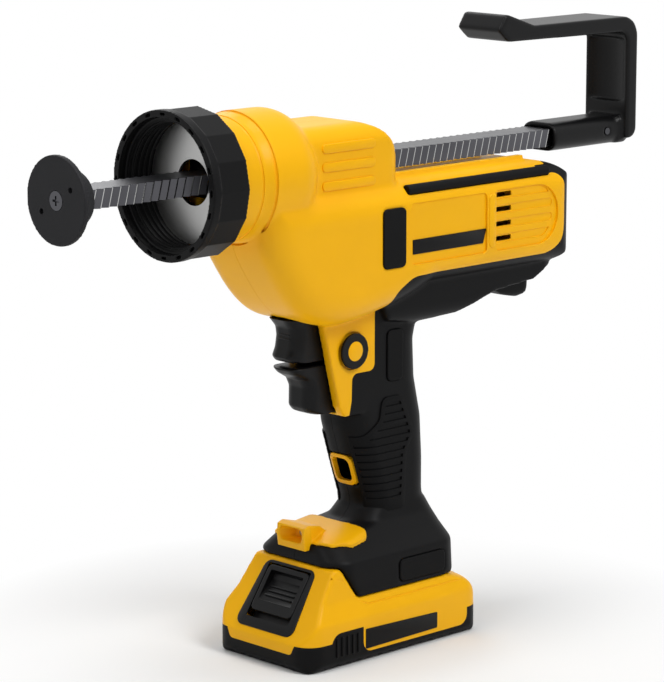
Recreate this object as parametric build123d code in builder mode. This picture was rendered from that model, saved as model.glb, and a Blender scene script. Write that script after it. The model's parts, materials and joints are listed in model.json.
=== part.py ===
from build123d import *
import os
from math import cos, pi, radians, sin

os.makedirs("parts", exist_ok=True)

# Battery caulking gun standing on its pack, in mm.
# Origin: centre of the flat base of the pack. Nose towards -X, tail towards +X, +Z up.

# Drive rod and its ratchet teeth
ROD_AXIS_Z = 268.0
ROD_HALF_HEIGHT = 4.95
ROD_TIP_HALF_WIDTH = 10.35
TOOTH_DEPTH = 1.8
TOOTH_PITCH = 5.4
TOOTH_LEAN = 15.0
TOOTH_RAMP = 2.8
TOOTH_LAND = 0.5
TOOTH_DROP = 0.6
TOOTH_COUNT = 63
FIRST_RIDGE_X = -187.5
ROD_FRONT_X = -196.0
ROD_REAR_X = 208.0

# Plunger disc, its hub and its screw
DISC_FRONT_X = -204.0
DISC_RADIUS = 23.0
DISC_RIM = 3.0
HUB_RADIUS = 13.5
HUB_REAR_X = -190.0
HUB_FIT = 0.05
SCREW_HEAD_RADIUS = 5.0
SCREW_HEAD_HEIGHT = 1.6
SCREW_SHANK_RADIUS = 2.0
SCREW_SHANK_LENGTH = 14.0

# Pull hook on the tail end of the rod
HOOK_HALF_WIDTH = 16.5
HOOK_REAR_X = 218.0
HOOK_PLATE = 9.0
HOOK_TOP_Z = 334.0
HOOK_ARM = 9.0
HOOK_TIP_X = 100.0
HOOK_TIP_RISE = 8.0
HOOK_CORNER = 12.0
SLEEVE_FRONT_X = 151.0
SLEEVE_HALF_WIDTH = 13.2
SLEEVE_HALF_HEIGHT = 8.2
HOOK_PIN_RADIUS = 2.0
HOOK_PIN_X = 196.0

# Collar ring and front plate
RING_FRONT_X = -133.5
RING_REAR_X = -109.0
RING_RADIUS = 39.5
RING_BORE_RADIUS = 33.0
RING_LIP_RADIUS = 35.5
RING_LIP_DEPTH = 5.0
RING_FLATS = 16
RING_GAP = 0.4
POCKET_COUNT = 20
PLATE_FRONT_X = -113.0
PLATE_THICKNESS = 2.5
PLATE_HOLE_RADIUS = 12.2

# Housing: wall, neck round the rod, upper box, front bulge and motor body
WALL = 2.5
NECK_FRONT_X = -108.5
NECK_RADIUS = 35.2
NECK_BAND_STEP = 2.0
NECK_BAND_X = -91.0
NECK_STEP_X = -85.0
NECK_REAR_X = -48.0
BOX_FRONT_X = -80.0
BOX_REAR_X = 15.0
BOX_HALF_WIDTH = 26.5
BOX_TOP_Z = 292.5
BOX_BOTTOM_Z = 240.0
BOX_ROUND = 11.0
BOX_CROWN_X = -12.0
BOX_CROWN_MIDDLE = (7.5, 281.0)
BOX_CROWN_Z = 263.0
BULGE_FRONT_X = -88.0
BULGE_BOTTOM_Z = 189.0
BULGE_FRONT_LOW_Z = 246.0
BULGE_MIDDLE_X = -77.0
BULGE_MIDDLE_Z = 215.0
BULGE_LOW_X = -52.0
BODY_HALF_WIDTH = 34.0
BODY_ROUND = 16.0
MOTOR_FRONT_END_X = -60.0
BULGE_REAR_X = 60.0
BULGE_REAR_Z = 211.0
MOTOR_REAR_X = 148.0
MOTOR_TOP_Z = 258.8
MOTOR_BOTTOM_Z = 200.0
KEEL_HALF_WIDTH = 23.0
KEEL_BOTTOM_Z = 177.0
LUG_FRONT_X = 97.0
LUG_REAR_X = 134.5
LUG_LOW_Z = 178.5
LUG_HALF_WIDTH = 10.0
LUG_ROUND = 4.0
RAIL_WALL = 4.5
RAIL_TOP_Z = 262.0
RAIL_REAR_X = 128.0
CHANNEL_GAP = 0.8

# Handle and foot
HANDLE_HALF_WIDTH = 17.0
HANDLE_ROUND = 14.0
FOOT_BOTTOM_Z = 36.0
FOOT_SIDE_Z = 55.0
FOOT_DECK_Z = 63.0
FOOT_FRONT_X = -43.0
FOOT_REAR_X = 54.5
FOOT_HALF_WIDTH = 34.0
FOOT_ROUND = 13.0
HEAD_TOP_Z = 52.5
HEAD_STEP_FRONT_X = -36.0
HEAD_STEP_REAR_X = -26.0
PACK_GAP = 0.4

# Battery pack
PACK_HALF_LENGTH = 67.5
PACK_HALF_WIDTH = 38.0
PACK_ROUND = 12.0
PACK_SEAM_Z = 15.0
PACK_DROP_Z = 9.5
PACK_DROP_HALF_WIDTH = 24.0
SIDE_PLATE_FRONT_X = -26.0
SIDE_PLATE_REAR_X = 55.0
SIDE_PLATE_LOW_Z = 5.5
SIDE_PLATE_ROUND = 6.0
RIBBED_END_FRONT_X = -50.0
RIBBED_END_TOP_Z = 20.0
PACK_SLOPE_X = -42.0
PACK_SHOULDER_Z = 25.0
PACK_WALL = 2.5
TONGUE_HALF_WIDTH = 20.0
TONGUE_REAR_X = 34.0
TONGUE_LIP = 4.0
TONGUE_NECK = 4.2
TONGUE_FLANGE = 3.6
CELL_RADIUS = 9.1
CELL_LENGTH = 65.0
CELL_COUNT = 5
CELL_STEP = 18.6
CELL_Z = 14.0
LATCH_HALF_WIDTH = 16.0
LATCH_LENGTH = 27.0
LATCH_THICKNESS = 5.0
LATCH_TRAVEL = 3.5
LATCH_GAP = 0.4

# Drive: rack pinions on leaning shafts that come out of the gearbox
PINION_TEETH = 6
PINION_PHASE = 3.78
PINION_RIDGE = 31
PINION_ROOT_RADIUS = 3.7
PINION_TIP_RADIUS = 5.6
PINION_ROOT_WIDTH = 2.2
PINION_TIP_WIDTH = 1.0
PINION_FACE = 16.0
SHAFT_RADIUS = 3.0
SHAFT_RUNNING = 0.05
BEARING_PLATE = 4.0
BUSH_WALL = 1.5
GEARBOX_RADIUS = 21.0
MOTOR_RADIUS = 18.5
MOTOR_AXIS_Z = 230.0
GEARBOX_FRONT_X = -52.0
GEARBOX_REAR_X = 56.0
MOTOR_LENGTH = 60.0
ENDBELL_LENGTH = 10.0
SEAT_GAP = 0.1

# Controls
TRIGGER_HALF_WIDTH = 10.5
TRIGGER_GAP = 0.4
TRIGGER_TRAVEL = 7.0
BUTTON_X = -14.5
BUTTON_Z = 168.0
BUTTON_RADIUS = 9.8
BUTTON_BOLT_RADIUS = 5.0
BUTTON_HEAD = 1.8
BUTTON_TRAVEL = 2.0
BUTTON_RECESS = 1.2
DIAL_X = 141.0
DIAL_Z = 213.0
DIAL_RADIUS = 11.0
DIAL_THICKNESS = 7.0
DIAL_GAP = 0.4
DIAL_PIN_RADIUS = 2.0

# Rubber pads let into the outside
PAD_DEPTH = 1.2
PAD_PROUD = 0.8

# Housing screws, put in from the right
CASE_SCREW_RADIUS = 1.6
CASE_SCREW_HEAD_RADIUS = 3.2
CASE_SCREW_HEAD = 2.5
CASE_BOSS_RADIUS = 4.6
CASE_SCREW_FIT = 0.05

REACH = 400.0
LEAN_SIN = sin(radians(TOOTH_LEAN))
LEAN_COS = cos(radians(TOOTH_LEAN))
ROD_ROOT_HALF_WIDTH = ROD_TIP_HALF_WIDTH - TOOTH_DEPTH
PITCH_LINE = ROD_TIP_HALF_WIDTH - TOOTH_DEPTH / 2
PINION_PITCH_RADIUS = PINION_TEETH * TOOTH_PITCH * LEAN_COS / (2 * pi)
PINION_Y = PITCH_LINE + PINION_PITCH_RADIUS
PINION_X = FIRST_RIDGE_X + PINION_RIDGE * TOOTH_PITCH - PINION_PHASE
PLATE_REAR_X = PLATE_FRONT_X + PLATE_THICKNESS


def finish(piece, name):
    piece.label = name
    export_step(piece, "parts/" + name + ".step")


def block(x0, x1, y0, y1, z0, z1):
    with BuildPart() as solid:
        with Locations(((x0 + x1) / 2, (y0 + y1) / 2, (z0 + z1) / 2)):
            Box(x1 - x0, y1 - y0, z1 - z0)
    return solid.part


def bar_y(x, z, radius, y0, y1):
    """A round bar along Y."""
    with BuildPart() as solid:
        with BuildSketch(Plane.XZ.offset(-y1)):
            with Locations((x, z)):
                Circle(radius)
        extrude(amount=y1 - y0)
    return solid.part


def bar_x(y, z, radius, x0, x1):
    """A round bar along X."""
    with BuildPart() as solid:
        with BuildSketch(Plane.YZ.offset(x0)):
            with Locations((y, z)):
                Circle(radius)
        extrude(amount=x1 - x0)
    return solid.part


def side_prism(points, half_width):
    """An outline in the XZ plane, carried the same way to both sides."""
    with BuildPart() as solid:
        with BuildSketch(Plane.XZ):
            with BuildLine():
                Polyline(*points, close=True)
            make_face()
        extrude(amount=half_width, both=True)
    return solid.part


def crossed(side, plan, front, inset):
    """Side, plan and front outlines, each drawn in by the inset, crossed to one solid."""
    with BuildPart() as solid:
        with BuildSketch(Plane.XZ):
            side()
            if inset:
                offset(amount=-inset, kind=Kind.INTERSECTION)
        extrude(amount=REACH, both=True)
        with BuildSketch(Plane.XY):
            plan()
            if inset:
                offset(amount=-inset, kind=Kind.INTERSECTION)
        extrude(amount=REACH, both=True, mode=Mode.INTERSECT)
        with BuildSketch(Plane.YZ):
            front()
            if inset:
                offset(amount=-inset, kind=Kind.INTERSECTION)
        extrude(amount=REACH, both=True, mode=Mode.INTERSECT)
    return solid.part


def rounded_rect(x0, x1, y0, y1, radius):
    with Locations(((x0 + x1) / 2, (y0 + y1) / 2)):
        RectangleRounded(x1 - x0, y1 - y0, radius)


def outline(*points):
    Polygon(*points, align=None)


# Outer forms of the housing, each also drawn in by a wall for the hollow


def neck(inset):
    top = ROD_AXIS_Z + NECK_RADIUS - inset
    band = top - NECK_BAND_STEP
    end = top - 12
    with BuildPart() as solid:
        with BuildSketch(Plane.XZ):
            with BuildLine():
                Polyline((NECK_FRONT_X, ROD_AXIS_Z), (NECK_FRONT_X, band), (NECK_BAND_X, band))
                Polyline((NECK_BAND_X, band), (NECK_STEP_X, top), (-66, top))
                ThreePointArc((-66, top), (-55, top - 3.5), (NECK_REAR_X, end))
                Polyline((NECK_REAR_X, end), (NECK_REAR_X, ROD_AXIS_Z), (NECK_FRONT_X, ROD_AXIS_Z))
            make_face()
        revolve(axis=Axis((0, 0, ROD_AXIS_Z), (1, 0, 0)))
    return solid.part


def upper_box(inset):
    with BuildSketch() as profile:
        with BuildLine():
            Line((BOX_FRONT_X, BOX_TOP_Z), (BOX_CROWN_X, BOX_TOP_Z))
            ThreePointArc((BOX_CROWN_X, BOX_TOP_Z), BOX_CROWN_MIDDLE, (BOX_REAR_X, BOX_CROWN_Z))
            Polyline((BOX_REAR_X, BOX_CROWN_Z), (BOX_REAR_X, BOX_BOTTOM_Z), (BOX_FRONT_X, BOX_BOTTOM_Z))
            Line((BOX_FRONT_X, BOX_BOTTOM_Z), (BOX_FRONT_X, BOX_TOP_Z))
        make_face()

    def side():
        add(profile.sketch)

    def plan():
        rounded_rect(BOX_FRONT_X, BOX_REAR_X, -BOX_HALF_WIDTH, BOX_HALF_WIDTH, BOX_ROUND)

    def front():
        rounded_rect(-BOX_HALF_WIDTH, BOX_HALF_WIDTH, BOX_BOTTOM_Z, BOX_TOP_Z, BOX_ROUND)

    return crossed(side, plan, front, inset)


def bulge(inset):
    """The round front of the body: its side outline carried across, with the lower edges rounded."""
    half_width = BODY_HALF_WIDTH - inset
    top = MOTOR_TOP_Z - inset
    with BuildPart() as solid:
        with BuildSketch(Plane.XZ):
            with BuildLine():
                Polyline(
                    (BULGE_REAR_X, BULGE_REAR_Z + inset),
                    (BULGE_REAR_X, top),
                    (BULGE_FRONT_X + inset, top),
                    (BULGE_FRONT_X + inset, BULGE_FRONT_LOW_Z),
                )
                Spline(
                    (BULGE_FRONT_X + inset, BULGE_FRONT_LOW_Z),
                    (BULGE_MIDDLE_X + 0.7 * inset, BULGE_MIDDLE_Z + 0.7 * inset),
                    (BULGE_LOW_X, BULGE_BOTTOM_Z + inset),
                    (0, BULGE_BOTTOM_Z + inset),
                    (BULGE_REAR_X, BULGE_REAR_Z + inset),
                    tangents=((0, -1), (1, 0.5)),
                )
            make_face()
        extrude(amount=half_width, both=True)
        rims = solid.edges().filter_by(GeomType.BSPLINE)
        fillet(rims, BODY_ROUND - inset)
        with BuildSketch(Plane.YZ):
            rounded_rect(-half_width, half_width, 0, top, BODY_ROUND - inset)
        extrude(amount=REACH, both=True, mode=Mode.INTERSECT)
    return solid.part


def motor_body(inset):
    def side():
        rounded_rect(MOTOR_FRONT_END_X, MOTOR_REAR_X, MOTOR_BOTTOM_Z, MOTOR_TOP_Z, BODY_ROUND)

    def plan():
        rounded_rect(MOTOR_FRONT_END_X, MOTOR_REAR_X, -BODY_HALF_WIDTH, BODY_HALF_WIDTH, BODY_ROUND)

    def front():
        rounded_rect(-BODY_HALF_WIDTH, BODY_HALF_WIDTH, MOTOR_BOTTOM_Z, MOTOR_TOP_Z, BODY_ROUND)

    return crossed(side, plan, front, inset)


def keel(inset):
    def side():
        outline(
            (-10, 215),
            (8, KEEL_BOTTOM_Z + 5),
            (36, KEEL_BOTTOM_Z),
            (64, KEEL_BOTTOM_Z + 2),
            (92, KEEL_BOTTOM_Z + 11),
            (124, KEEL_BOTTOM_Z + 14),
            (138, KEEL_BOTTOM_Z + 21),
            (143, 215),
        )

    def plan():
        rounded_rect(-10, 143, -KEEL_HALF_WIDTH, KEEL_HALF_WIDTH, 10)

    def front():
        rounded_rect(-KEEL_HALF_WIDTH, KEEL_HALF_WIDTH, KEEL_BOTTOM_Z, 225, 10)

    return crossed(side, plan, front, inset)


def tail_lug(inset):
    """A short lug under the tail."""
    def side():
        outline(
            (LUG_FRONT_X, KEEL_BOTTOM_Z + 19),
            (LUG_FRONT_X + 6, LUG_LOW_Z + 8),
            (LUG_FRONT_X + 15, LUG_LOW_Z + 3),
            (LUG_REAR_X - 8.5, LUG_LOW_Z),
            (LUG_REAR_X - 2.5, LUG_LOW_Z + 2),
            (LUG_REAR_X, LUG_LOW_Z + 7.5),
            (LUG_REAR_X, KEEL_BOTTOM_Z + 25),
        )

    def plan():
        rounded_rect(LUG_FRONT_X - LUG_ROUND, LUG_REAR_X, -LUG_HALF_WIDTH, LUG_HALF_WIDTH, LUG_ROUND)

    def front():
        rounded_rect(-LUG_HALF_WIDTH, LUG_HALF_WIDTH, LUG_LOW_Z, KEEL_BOTTOM_Z + 30, LUG_ROUND)

    return crossed(side, plan, front, inset)


def trigger_surround(inset):
    def side():
        outline((-39, 200), (-31, 166), (-24, 138), (-20, 132), (-6, 132), (14, 150), (14, 200))

    def plan():
        rounded_rect(-60, 30, -HANDLE_HALF_WIDTH, HANDLE_HALF_WIDTH, 6)

    def front():
        rounded_rect(-HANDLE_HALF_WIDTH, HANDLE_HALF_WIDTH, 120, 215, 6)

    return crossed(side, plan, front, inset)


# Heights of the handle's cuts, with the front and rear of each
HANDLE_CUTS = (
    (192, -22, 46),
    (168, -20, 40),
    (146, -17, 41),
    (124, -13.5, 46),
    (100, -6, 47.5),
    (82, 0, 47.5),
    (70, 1.5, 49),
    (60, 1.5, 51),
)


def handle(inset):
    with BuildPart() as solid:
        for height, front_x, rear_x in HANDLE_CUTS:
            with BuildSketch(Plane.XY.offset(height)):
                rounded_rect(
                    front_x + inset,
                    rear_x - inset,
                    -HANDLE_HALF_WIDTH + inset,
                    HANDLE_HALF_WIDTH - inset,
                    HANDLE_ROUND - inset,
                )
        loft(ruled=True)
    return solid.part


def foot(inset):
    cuts = (
        (FOOT_BOTTOM_Z + inset, FOOT_FRONT_X, FOOT_REAR_X, FOOT_HALF_WIDTH, FOOT_ROUND),
        (FOOT_SIDE_Z, FOOT_FRONT_X + 1, FOOT_REAR_X - 0.5, FOOT_HALF_WIDTH - 0.6, FOOT_ROUND),
        (FOOT_DECK_Z, FOOT_FRONT_X + 3, FOOT_REAR_X - 1.5, FOOT_HALF_WIDTH - 9, FOOT_ROUND),
        (FOOT_DECK_Z + 7, -6, FOOT_REAR_X - 2, HANDLE_HALF_WIDTH + 1.5, FOOT_ROUND),
        (FOOT_DECK_Z + 14, 0.5, FOOT_REAR_X - 5.5, HANDLE_HALF_WIDTH, FOOT_ROUND),
    )
    with BuildPart() as solid:
        for height, front_x, rear_x, half_width, radius in cuts:
            drop = 0 if height < FOOT_SIDE_Z else inset
            with BuildSketch(Plane.XY.offset(height - drop)):
                rounded_rect(
                    front_x + inset,
                    rear_x - inset,
                    -half_width + inset,
                    half_width - inset,
                    radius - inset,
                )
        loft(ruled=True)
        add(head_step(inset), mode=Mode.SUBTRACT)
    return solid.part


def head_step(grow):
    """The space under the foot's front that the pack's head takes up."""
    return side_prism(
        (
            (FOOT_FRONT_X - 10, HEAD_TOP_Z + PACK_GAP + grow),
            (HEAD_STEP_FRONT_X + grow, HEAD_TOP_Z + PACK_GAP + grow),
            (HEAD_STEP_REAR_X + PACK_GAP + grow, FOOT_BOTTOM_Z + grow),
            (HEAD_STEP_REAR_X + PACK_GAP + grow, FOOT_BOTTOM_Z - 10),
            (FOOT_FRONT_X - 10, FOOT_BOTTOM_Z - 10),
        ),
        REACH,
    )


def joined(forms):
    with BuildPart() as solid:
        for form in forms:
            add(form)
    return solid.part


FORMS = (neck, upper_box, bulge, motor_body, keel, tail_lug, trigger_surround, handle, foot)
outside = joined([form(0) for form in FORMS])
hollow = joined([form(WALL) for form in FORMS])

# Leaning shafts of the drive
SHAFT_DIR = (LEAN_SIN, 0, LEAN_COS)


def along_shaft(side, height):
    """A plane square to a drive shaft, at a height along it from the rod's axis."""
    return Plane(
        origin=(PINION_X + height * LEAN_SIN, side * PINION_Y, ROD_AXIS_Z + height * LEAN_COS),
        x_dir=(LEAN_COS, 0, -LEAN_SIN),
        z_dir=SHAFT_DIR,
    )


UPPER_PLATE_LOW = PINION_FACE / 2 + 0.5
UPPER_PLATE_HIGH = UPPER_PLATE_LOW + BEARING_PLATE
LOWER_PLATE_HIGH = -PINION_FACE / 2 - 0.5
LOWER_PLATE_LOW = LOWER_PLATE_HIGH - BEARING_PLATE
SHAFT_LOW = -29.0
SHAFT_HIGH = UPPER_PLATE_HIGH


def bearing_plate(low, high, half_length, half_width):
    with BuildPart() as solid:
        with BuildSketch(along_shaft(0, low)):
            Rectangle(2 * half_length, 2 * half_width)
            with Locations((0, PINION_Y), (0, -PINION_Y)):
                Circle(SHAFT_RADIUS + BUSH_WALL, mode=Mode.SUBTRACT)
        extrude(amount=high - low)
    return solid.part


UPPER_PLATE_HALF = BOX_HALF_WIDTH - WALL - SEAT_GAP
upper_plate_part = bearing_plate(UPPER_PLATE_LOW, UPPER_PLATE_HIGH, 11, UPPER_PLATE_HALF)
lower_plate_part = bearing_plate(LOWER_PLATE_LOW, LOWER_PLATE_HIGH, 11, UPPER_PLATE_HALF)

# Ribs that stay in the hollow to carry what sits inside it
MOTOR_FRONT_X = GEARBOX_REAR_X
MOTOR_BACK_X = MOTOR_FRONT_X + MOTOR_LENGTH
ENDBELL_BACK_X = MOTOR_BACK_X + ENDBELL_LENGTH
RIB = 3.0
FRONT_GUIDE_X = -100.0
REAR_GUIDE_X = 4.0
GUIDE_LENGTH = 8.0
GUIDE_HALF_WIDTH = 17.0
GUIDE_HALF_HEIGHT = 10.0
ROD_RUNNING = 0.05
SWITCH_FRONT_X = -8.0
SWITCH_REAR_X = 22.0
SWITCH_LOW_Z = 138.0
SWITCH_HIGH_Z = 159.0
SWITCH_HALF_WIDTH = 9.0
BOARD_X = 132.0
BOARD_THICKNESS = 1.6
BOARD_LOW_Z = 224.0
BOARD_HIGH_Z = 250.0
BOARD_HALF_WIDTH = 18.0
DIAL_BRACKET_LOW = DIAL_Z + DIAL_THICKNESS / 2 + DIAL_GAP
DIAL_BRACKET_HIGH = DIAL_BRACKET_LOW + 6.0
TERMINAL_FRONT_X = 20.0
TERMINAL_SEAT_X = 35.0
TERMINAL_REAR_X = 44.0
TERMINAL_LOW_Z = 46.0
TERMINAL_HIGH_Z = 54.0
TERMINAL_HALF_WIDTH = 14.0
BLADE_Y = 8.0
BLADE_THICKNESS = 1.0
BLADE_LOW_Z = 38.4
BLADE_FRONT_X = 22.0
BLADE_REAR_X = 32.0

ribs = joined(
    [
        block(FRONT_GUIDE_X, FRONT_GUIDE_X + GUIDE_LENGTH, -33, 33, 230, 306),
        block(REAR_GUIDE_X, REAR_GUIDE_X + GUIDE_LENGTH, -26, 26, 250, 292),
        block(MOTOR_FRONT_X + 8, MOTOR_FRONT_X + 8 + RIB, -33, 33, 196, 258),
        block(MOTOR_BACK_X - 10, MOTOR_BACK_X - 10 + RIB, -33, 33, 196, 258),
        block(8, 8 + RIB, -33, 33, 200, 258),
        block(-40, -40 + RIB, -33, 33, 195, 240),
        block(SWITCH_FRONT_X, SWITCH_REAR_X, -17, 17, SWITCH_LOW_Z - 5, SWITCH_LOW_Z),
        block(SWITCH_REAR_X, SWITCH_REAR_X + RIB, -17, 17, SWITCH_LOW_Z - 5, SWITCH_HIGH_Z),
        block(BOARD_X + BOARD_THICKNESS, BOARD_X + BOARD_THICKNESS + RIB, -33, 33, 222, 256),
        block(TERMINAL_SEAT_X, TERMINAL_REAR_X, -30, 30, TERMINAL_LOW_Z - RIB, TERMINAL_LOW_Z),
        block(BOARD_X + BOARD_THICKNESS, DIAL_X + 5, -5, 5, DIAL_BRACKET_LOW, DIAL_BRACKET_HIGH),
    ]
)

# Housing screws: places in the XZ plane
CASE_SCREWS = (
    (-68, 212),
    (-44, 204),
    (-2, 285),
    (126, 249),
    (126, 205),
    (28, 176),
    (24, 112),
    (44, 66),
)
CASE_HEAD_Y = 11.0
CASE_TIP_Y = -11.0

bosses = joined([bar_y(x, z, CASE_BOSS_RADIUS, -REACH / 8, REACH / 8) for x, z in CASE_SCREWS])


def case_screw(x, z, fit, head_reach):
    """A screw, or with a fit its hole, with the head's seat open to the right."""
    shank = bar_y(x, z, CASE_SCREW_RADIUS + fit, CASE_TIP_Y - fit, CASE_HEAD_Y)
    head = bar_y(x, z, CASE_SCREW_HEAD_RADIUS + fit, CASE_HEAD_Y, CASE_HEAD_Y + head_reach)
    return joined([shank, head])


# Slots and pockets through the walls
rod_path = block(
    -REACH,
    REACH,
    -ROD_TIP_HALF_WIDTH - 0.6,
    ROD_TIP_HALF_WIDTH + 0.6,
    ROD_AXIS_Z - ROD_HALF_HEIGHT - 0.6,
    ROD_AXIS_Z + ROD_HALF_HEIGHT + 0.6,
)


def guide(x0, grow):
    return block(
        x0 - grow,
        x0 + GUIDE_LENGTH + grow,
        -GUIDE_HALF_WIDTH - grow,
        GUIDE_HALF_WIDTH + grow,
        ROD_AXIS_Z - GUIDE_HALF_HEIGHT - grow,
        ROD_AXIS_Z + GUIDE_HALF_HEIGHT + grow,
    )


TRIGGER_REAR_X = -16.0
TRIGGER_LOW_Z = 134.0
TRIGGER_SPLIT_Z = 162.6
TRIGGER_SLIT = 2.6
TRIGGER_HIGH_Z = 188.0
trigger_slot = block(
    -60,
    TRIGGER_REAR_X + TRIGGER_TRAVEL + 1.0,
    -TRIGGER_HALF_WIDTH - TRIGGER_GAP,
    TRIGGER_HALF_WIDTH + TRIGGER_GAP,
    TRIGGER_LOW_Z - TRIGGER_GAP,
    TRIGGER_HIGH_Z + TRIGGER_GAP,
)
button_hole = joined(
    [
        bar_y(BUTTON_X, BUTTON_Z, BUTTON_BOLT_RADIUS + SHAFT_RUNNING, -REACH / 8, REACH / 8),
        bar_y(BUTTON_X, BUTTON_Z, BUTTON_RADIUS + TRIGGER_GAP, -REACH / 8, -HANDLE_HALF_WIDTH + BUTTON_RECESS),
        bar_y(BUTTON_X, BUTTON_Z, BUTTON_RADIUS + TRIGGER_GAP, HANDLE_HALF_WIDTH - BUTTON_RECESS, REACH / 8),
    ]
)
with BuildPart() as dial_slot_form:
    with BuildSketch(Plane.XY.offset(DIAL_Z - DIAL_THICKNESS / 2 - DIAL_GAP)):
        with Locations((DIAL_X, 0)):
            Circle(DIAL_RADIUS + DIAL_GAP)
    extrude(amount=DIAL_THICKNESS + 2 * DIAL_GAP)
dial_slot = dial_slot_form.part

POCKET_LOW_Z = 89.0
POCKET_HIGH_Z = 107.0
POCKET_HALF_WIDTH = 8.5
POCKET_REAR_X = 12.0
POCKET_WALL = 1.5
pocket_hole = block(-40, POCKET_REAR_X, -POCKET_HALF_WIDTH, POCKET_HALF_WIDTH, POCKET_LOW_Z, POCKET_HIGH_Z)

tongue_slot = joined(
    [
        block(
            FOOT_FRONT_X - 10,
            TONGUE_REAR_X + PACK_GAP,
            -TONGUE_HALF_WIDTH - PACK_GAP,
            TONGUE_HALF_WIDTH + PACK_GAP,
            FOOT_BOTTOM_Z - 5,
            FOOT_BOTTOM_Z + TONGUE_NECK + TONGUE_FLANGE + PACK_GAP,
        ),
        block(
            FOOT_FRONT_X - 10,
            TONGUE_REAR_X + PACK_GAP,
            -TONGUE_HALF_WIDTH - TONGUE_LIP - PACK_GAP,
            TONGUE_HALF_WIDTH + TONGUE_LIP + PACK_GAP,
            FOOT_BOTTOM_Z + TONGUE_NECK - PACK_GAP,
            FOOT_BOTTOM_Z + TONGUE_NECK + TONGUE_FLANGE + PACK_GAP,
        ),
    ]
)
spigot = bar_x(0, ROD_AXIS_Z, RING_BORE_RADIUS - RING_GAP, PLATE_REAR_X, NECK_FRONT_X + 1)
neck_mouth = bar_x(0, ROD_AXIS_Z, RING_BORE_RADIUS - RING_GAP - WALL, PLATE_REAR_X - 1, FRONT_GUIDE_X)
RAIL_INNER = SLEEVE_HALF_WIDTH + CHANNEL_GAP
RAIL_OUTER = RAIL_INNER + RAIL_WALL
rails = joined(
    [
        block(BOX_REAR_X - 4, RAIL_REAR_X, RAIL_INNER, RAIL_OUTER, MOTOR_TOP_Z - 2, RAIL_TOP_Z),
        block(BOX_REAR_X - 4, RAIL_REAR_X, -RAIL_OUTER, -RAIL_INNER, MOTOR_TOP_Z - 2, RAIL_TOP_Z),
    ]
)
with BuildPart() as dial_pin_form:
    with BuildSketch(Plane.XY.offset(DIAL_Z)):
        with Locations((DIAL_X, 0)):
            Circle(DIAL_PIN_RADIUS + SHAFT_RUNNING)
    extrude(amount=DIAL_BRACKET_HIGH - DIAL_Z + 1)
dial_pin_hole = dial_pin_form.part

gearbox_seat = joined(
    [
        bar_x(0, MOTOR_AXIS_Z, GEARBOX_RADIUS + SEAT_GAP, GEARBOX_FRONT_X, GEARBOX_REAR_X),
        bar_x(0, MOTOR_AXIS_Z, MOTOR_RADIUS + SEAT_GAP, GEARBOX_REAR_X, ENDBELL_BACK_X),
    ]
)

# Rubber pads: outlines on the sides, each let into the wall


def side_pad(profile, half_width, grow):
    """A pad on the left side, from its outline in the XZ plane; with a gap to grow, its recess."""
    inner = half_width - PAD_DEPTH - grow
    outer = half_width + PAD_PROUD + (REACH / 40 if grow else 0)
    with BuildPart() as solid:
        with BuildSketch(Plane.XZ.offset(inner)):
            profile()
            if grow:
                offset(amount=grow)
        extrude(amount=outer - inner)
    return solid.part


def bumper_profile():
    rounded_rect(-8, 9, 213.5, 246, 3)


def grip_profile():
    outline((6, 141), (26, 143), (31, 130), (33, 112), (33.5, 96), (33, 80), (13, 80), (10, 100), (4, 122))


def thumb_profile():
    rounded_rect(12, 24, 147, 175.5, 3)


def foot_pad_profile():
    rounded_rect(6, 41, 38, 50.5, 3)


STRIP_RADIUS = 3.0
STRIP_Y = BODY_HALF_WIDTH - 5.1
STRIP_Z = MOTOR_TOP_Z - 5.1
STRIP_FRONT_X = 14.0
STRIP_REAR_X = 126.0


def strip(grow):
    return bar_x(-STRIP_Y, STRIP_Z, STRIP_RADIUS + grow, STRIP_FRONT_X - grow, STRIP_REAR_X + grow)


PADS = (
    ("side_bumper", side_pad(bumper_profile, BODY_HALF_WIDTH, 0)),
    ("shoulder_strip", strip(0)),
    ("grip_panel", side_pad(grip_profile, HANDLE_HALF_WIDTH, 0)),
    ("thumb_pad", side_pad(thumb_profile, HANDLE_HALF_WIDTH, 0)),
    ("foot_pad", side_pad(foot_pad_profile, FOOT_HALF_WIDTH - 0.6, 0)),
)
pad_seats = joined(
    [
        side_pad(bumper_profile, BODY_HALF_WIDTH, SEAT_GAP),
        strip(SEAT_GAP),
        side_pad(grip_profile, HANDLE_HALF_WIDTH, SEAT_GAP),
        side_pad(thumb_profile, HANDLE_HALF_WIDTH, SEAT_GAP),
        side_pad(foot_pad_profile, FOOT_HALF_WIDTH - 0.6, SEAT_GAP),
    ]
)

with BuildPart() as shell_form:
    add(outside)
    add(spigot)
    add(rails)
    add(hollow - ribs - bosses, mode=Mode.SUBTRACT)
    add(neck_mouth, mode=Mode.SUBTRACT)
    add(rod_path, mode=Mode.SUBTRACT)
    add(guide(FRONT_GUIDE_X, SEAT_GAP), mode=Mode.SUBTRACT)
    add(guide(REAR_GUIDE_X, SEAT_GAP), mode=Mode.SUBTRACT)
    add(gearbox_seat, mode=Mode.SUBTRACT)
    add(trigger_slot, mode=Mode.SUBTRACT)
    add(button_hole, mode=Mode.SUBTRACT)
    add(dial_slot, mode=Mode.SUBTRACT)
    add(pocket_hole, mode=Mode.SUBTRACT)
    add(tongue_slot, mode=Mode.SUBTRACT)
    add(dial_pin_hole, mode=Mode.SUBTRACT)
    add(pad_seats, mode=Mode.SUBTRACT)
    add(pad_seats.mirror(Plane.XZ), mode=Mode.SUBTRACT)
    for screw_x, screw_z in CASE_SCREWS:
        add(case_screw(screw_x, screw_z, CASE_SCREW_FIT, REACH / 8), mode=Mode.SUBTRACT)
shell = shell_form.part

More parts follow.
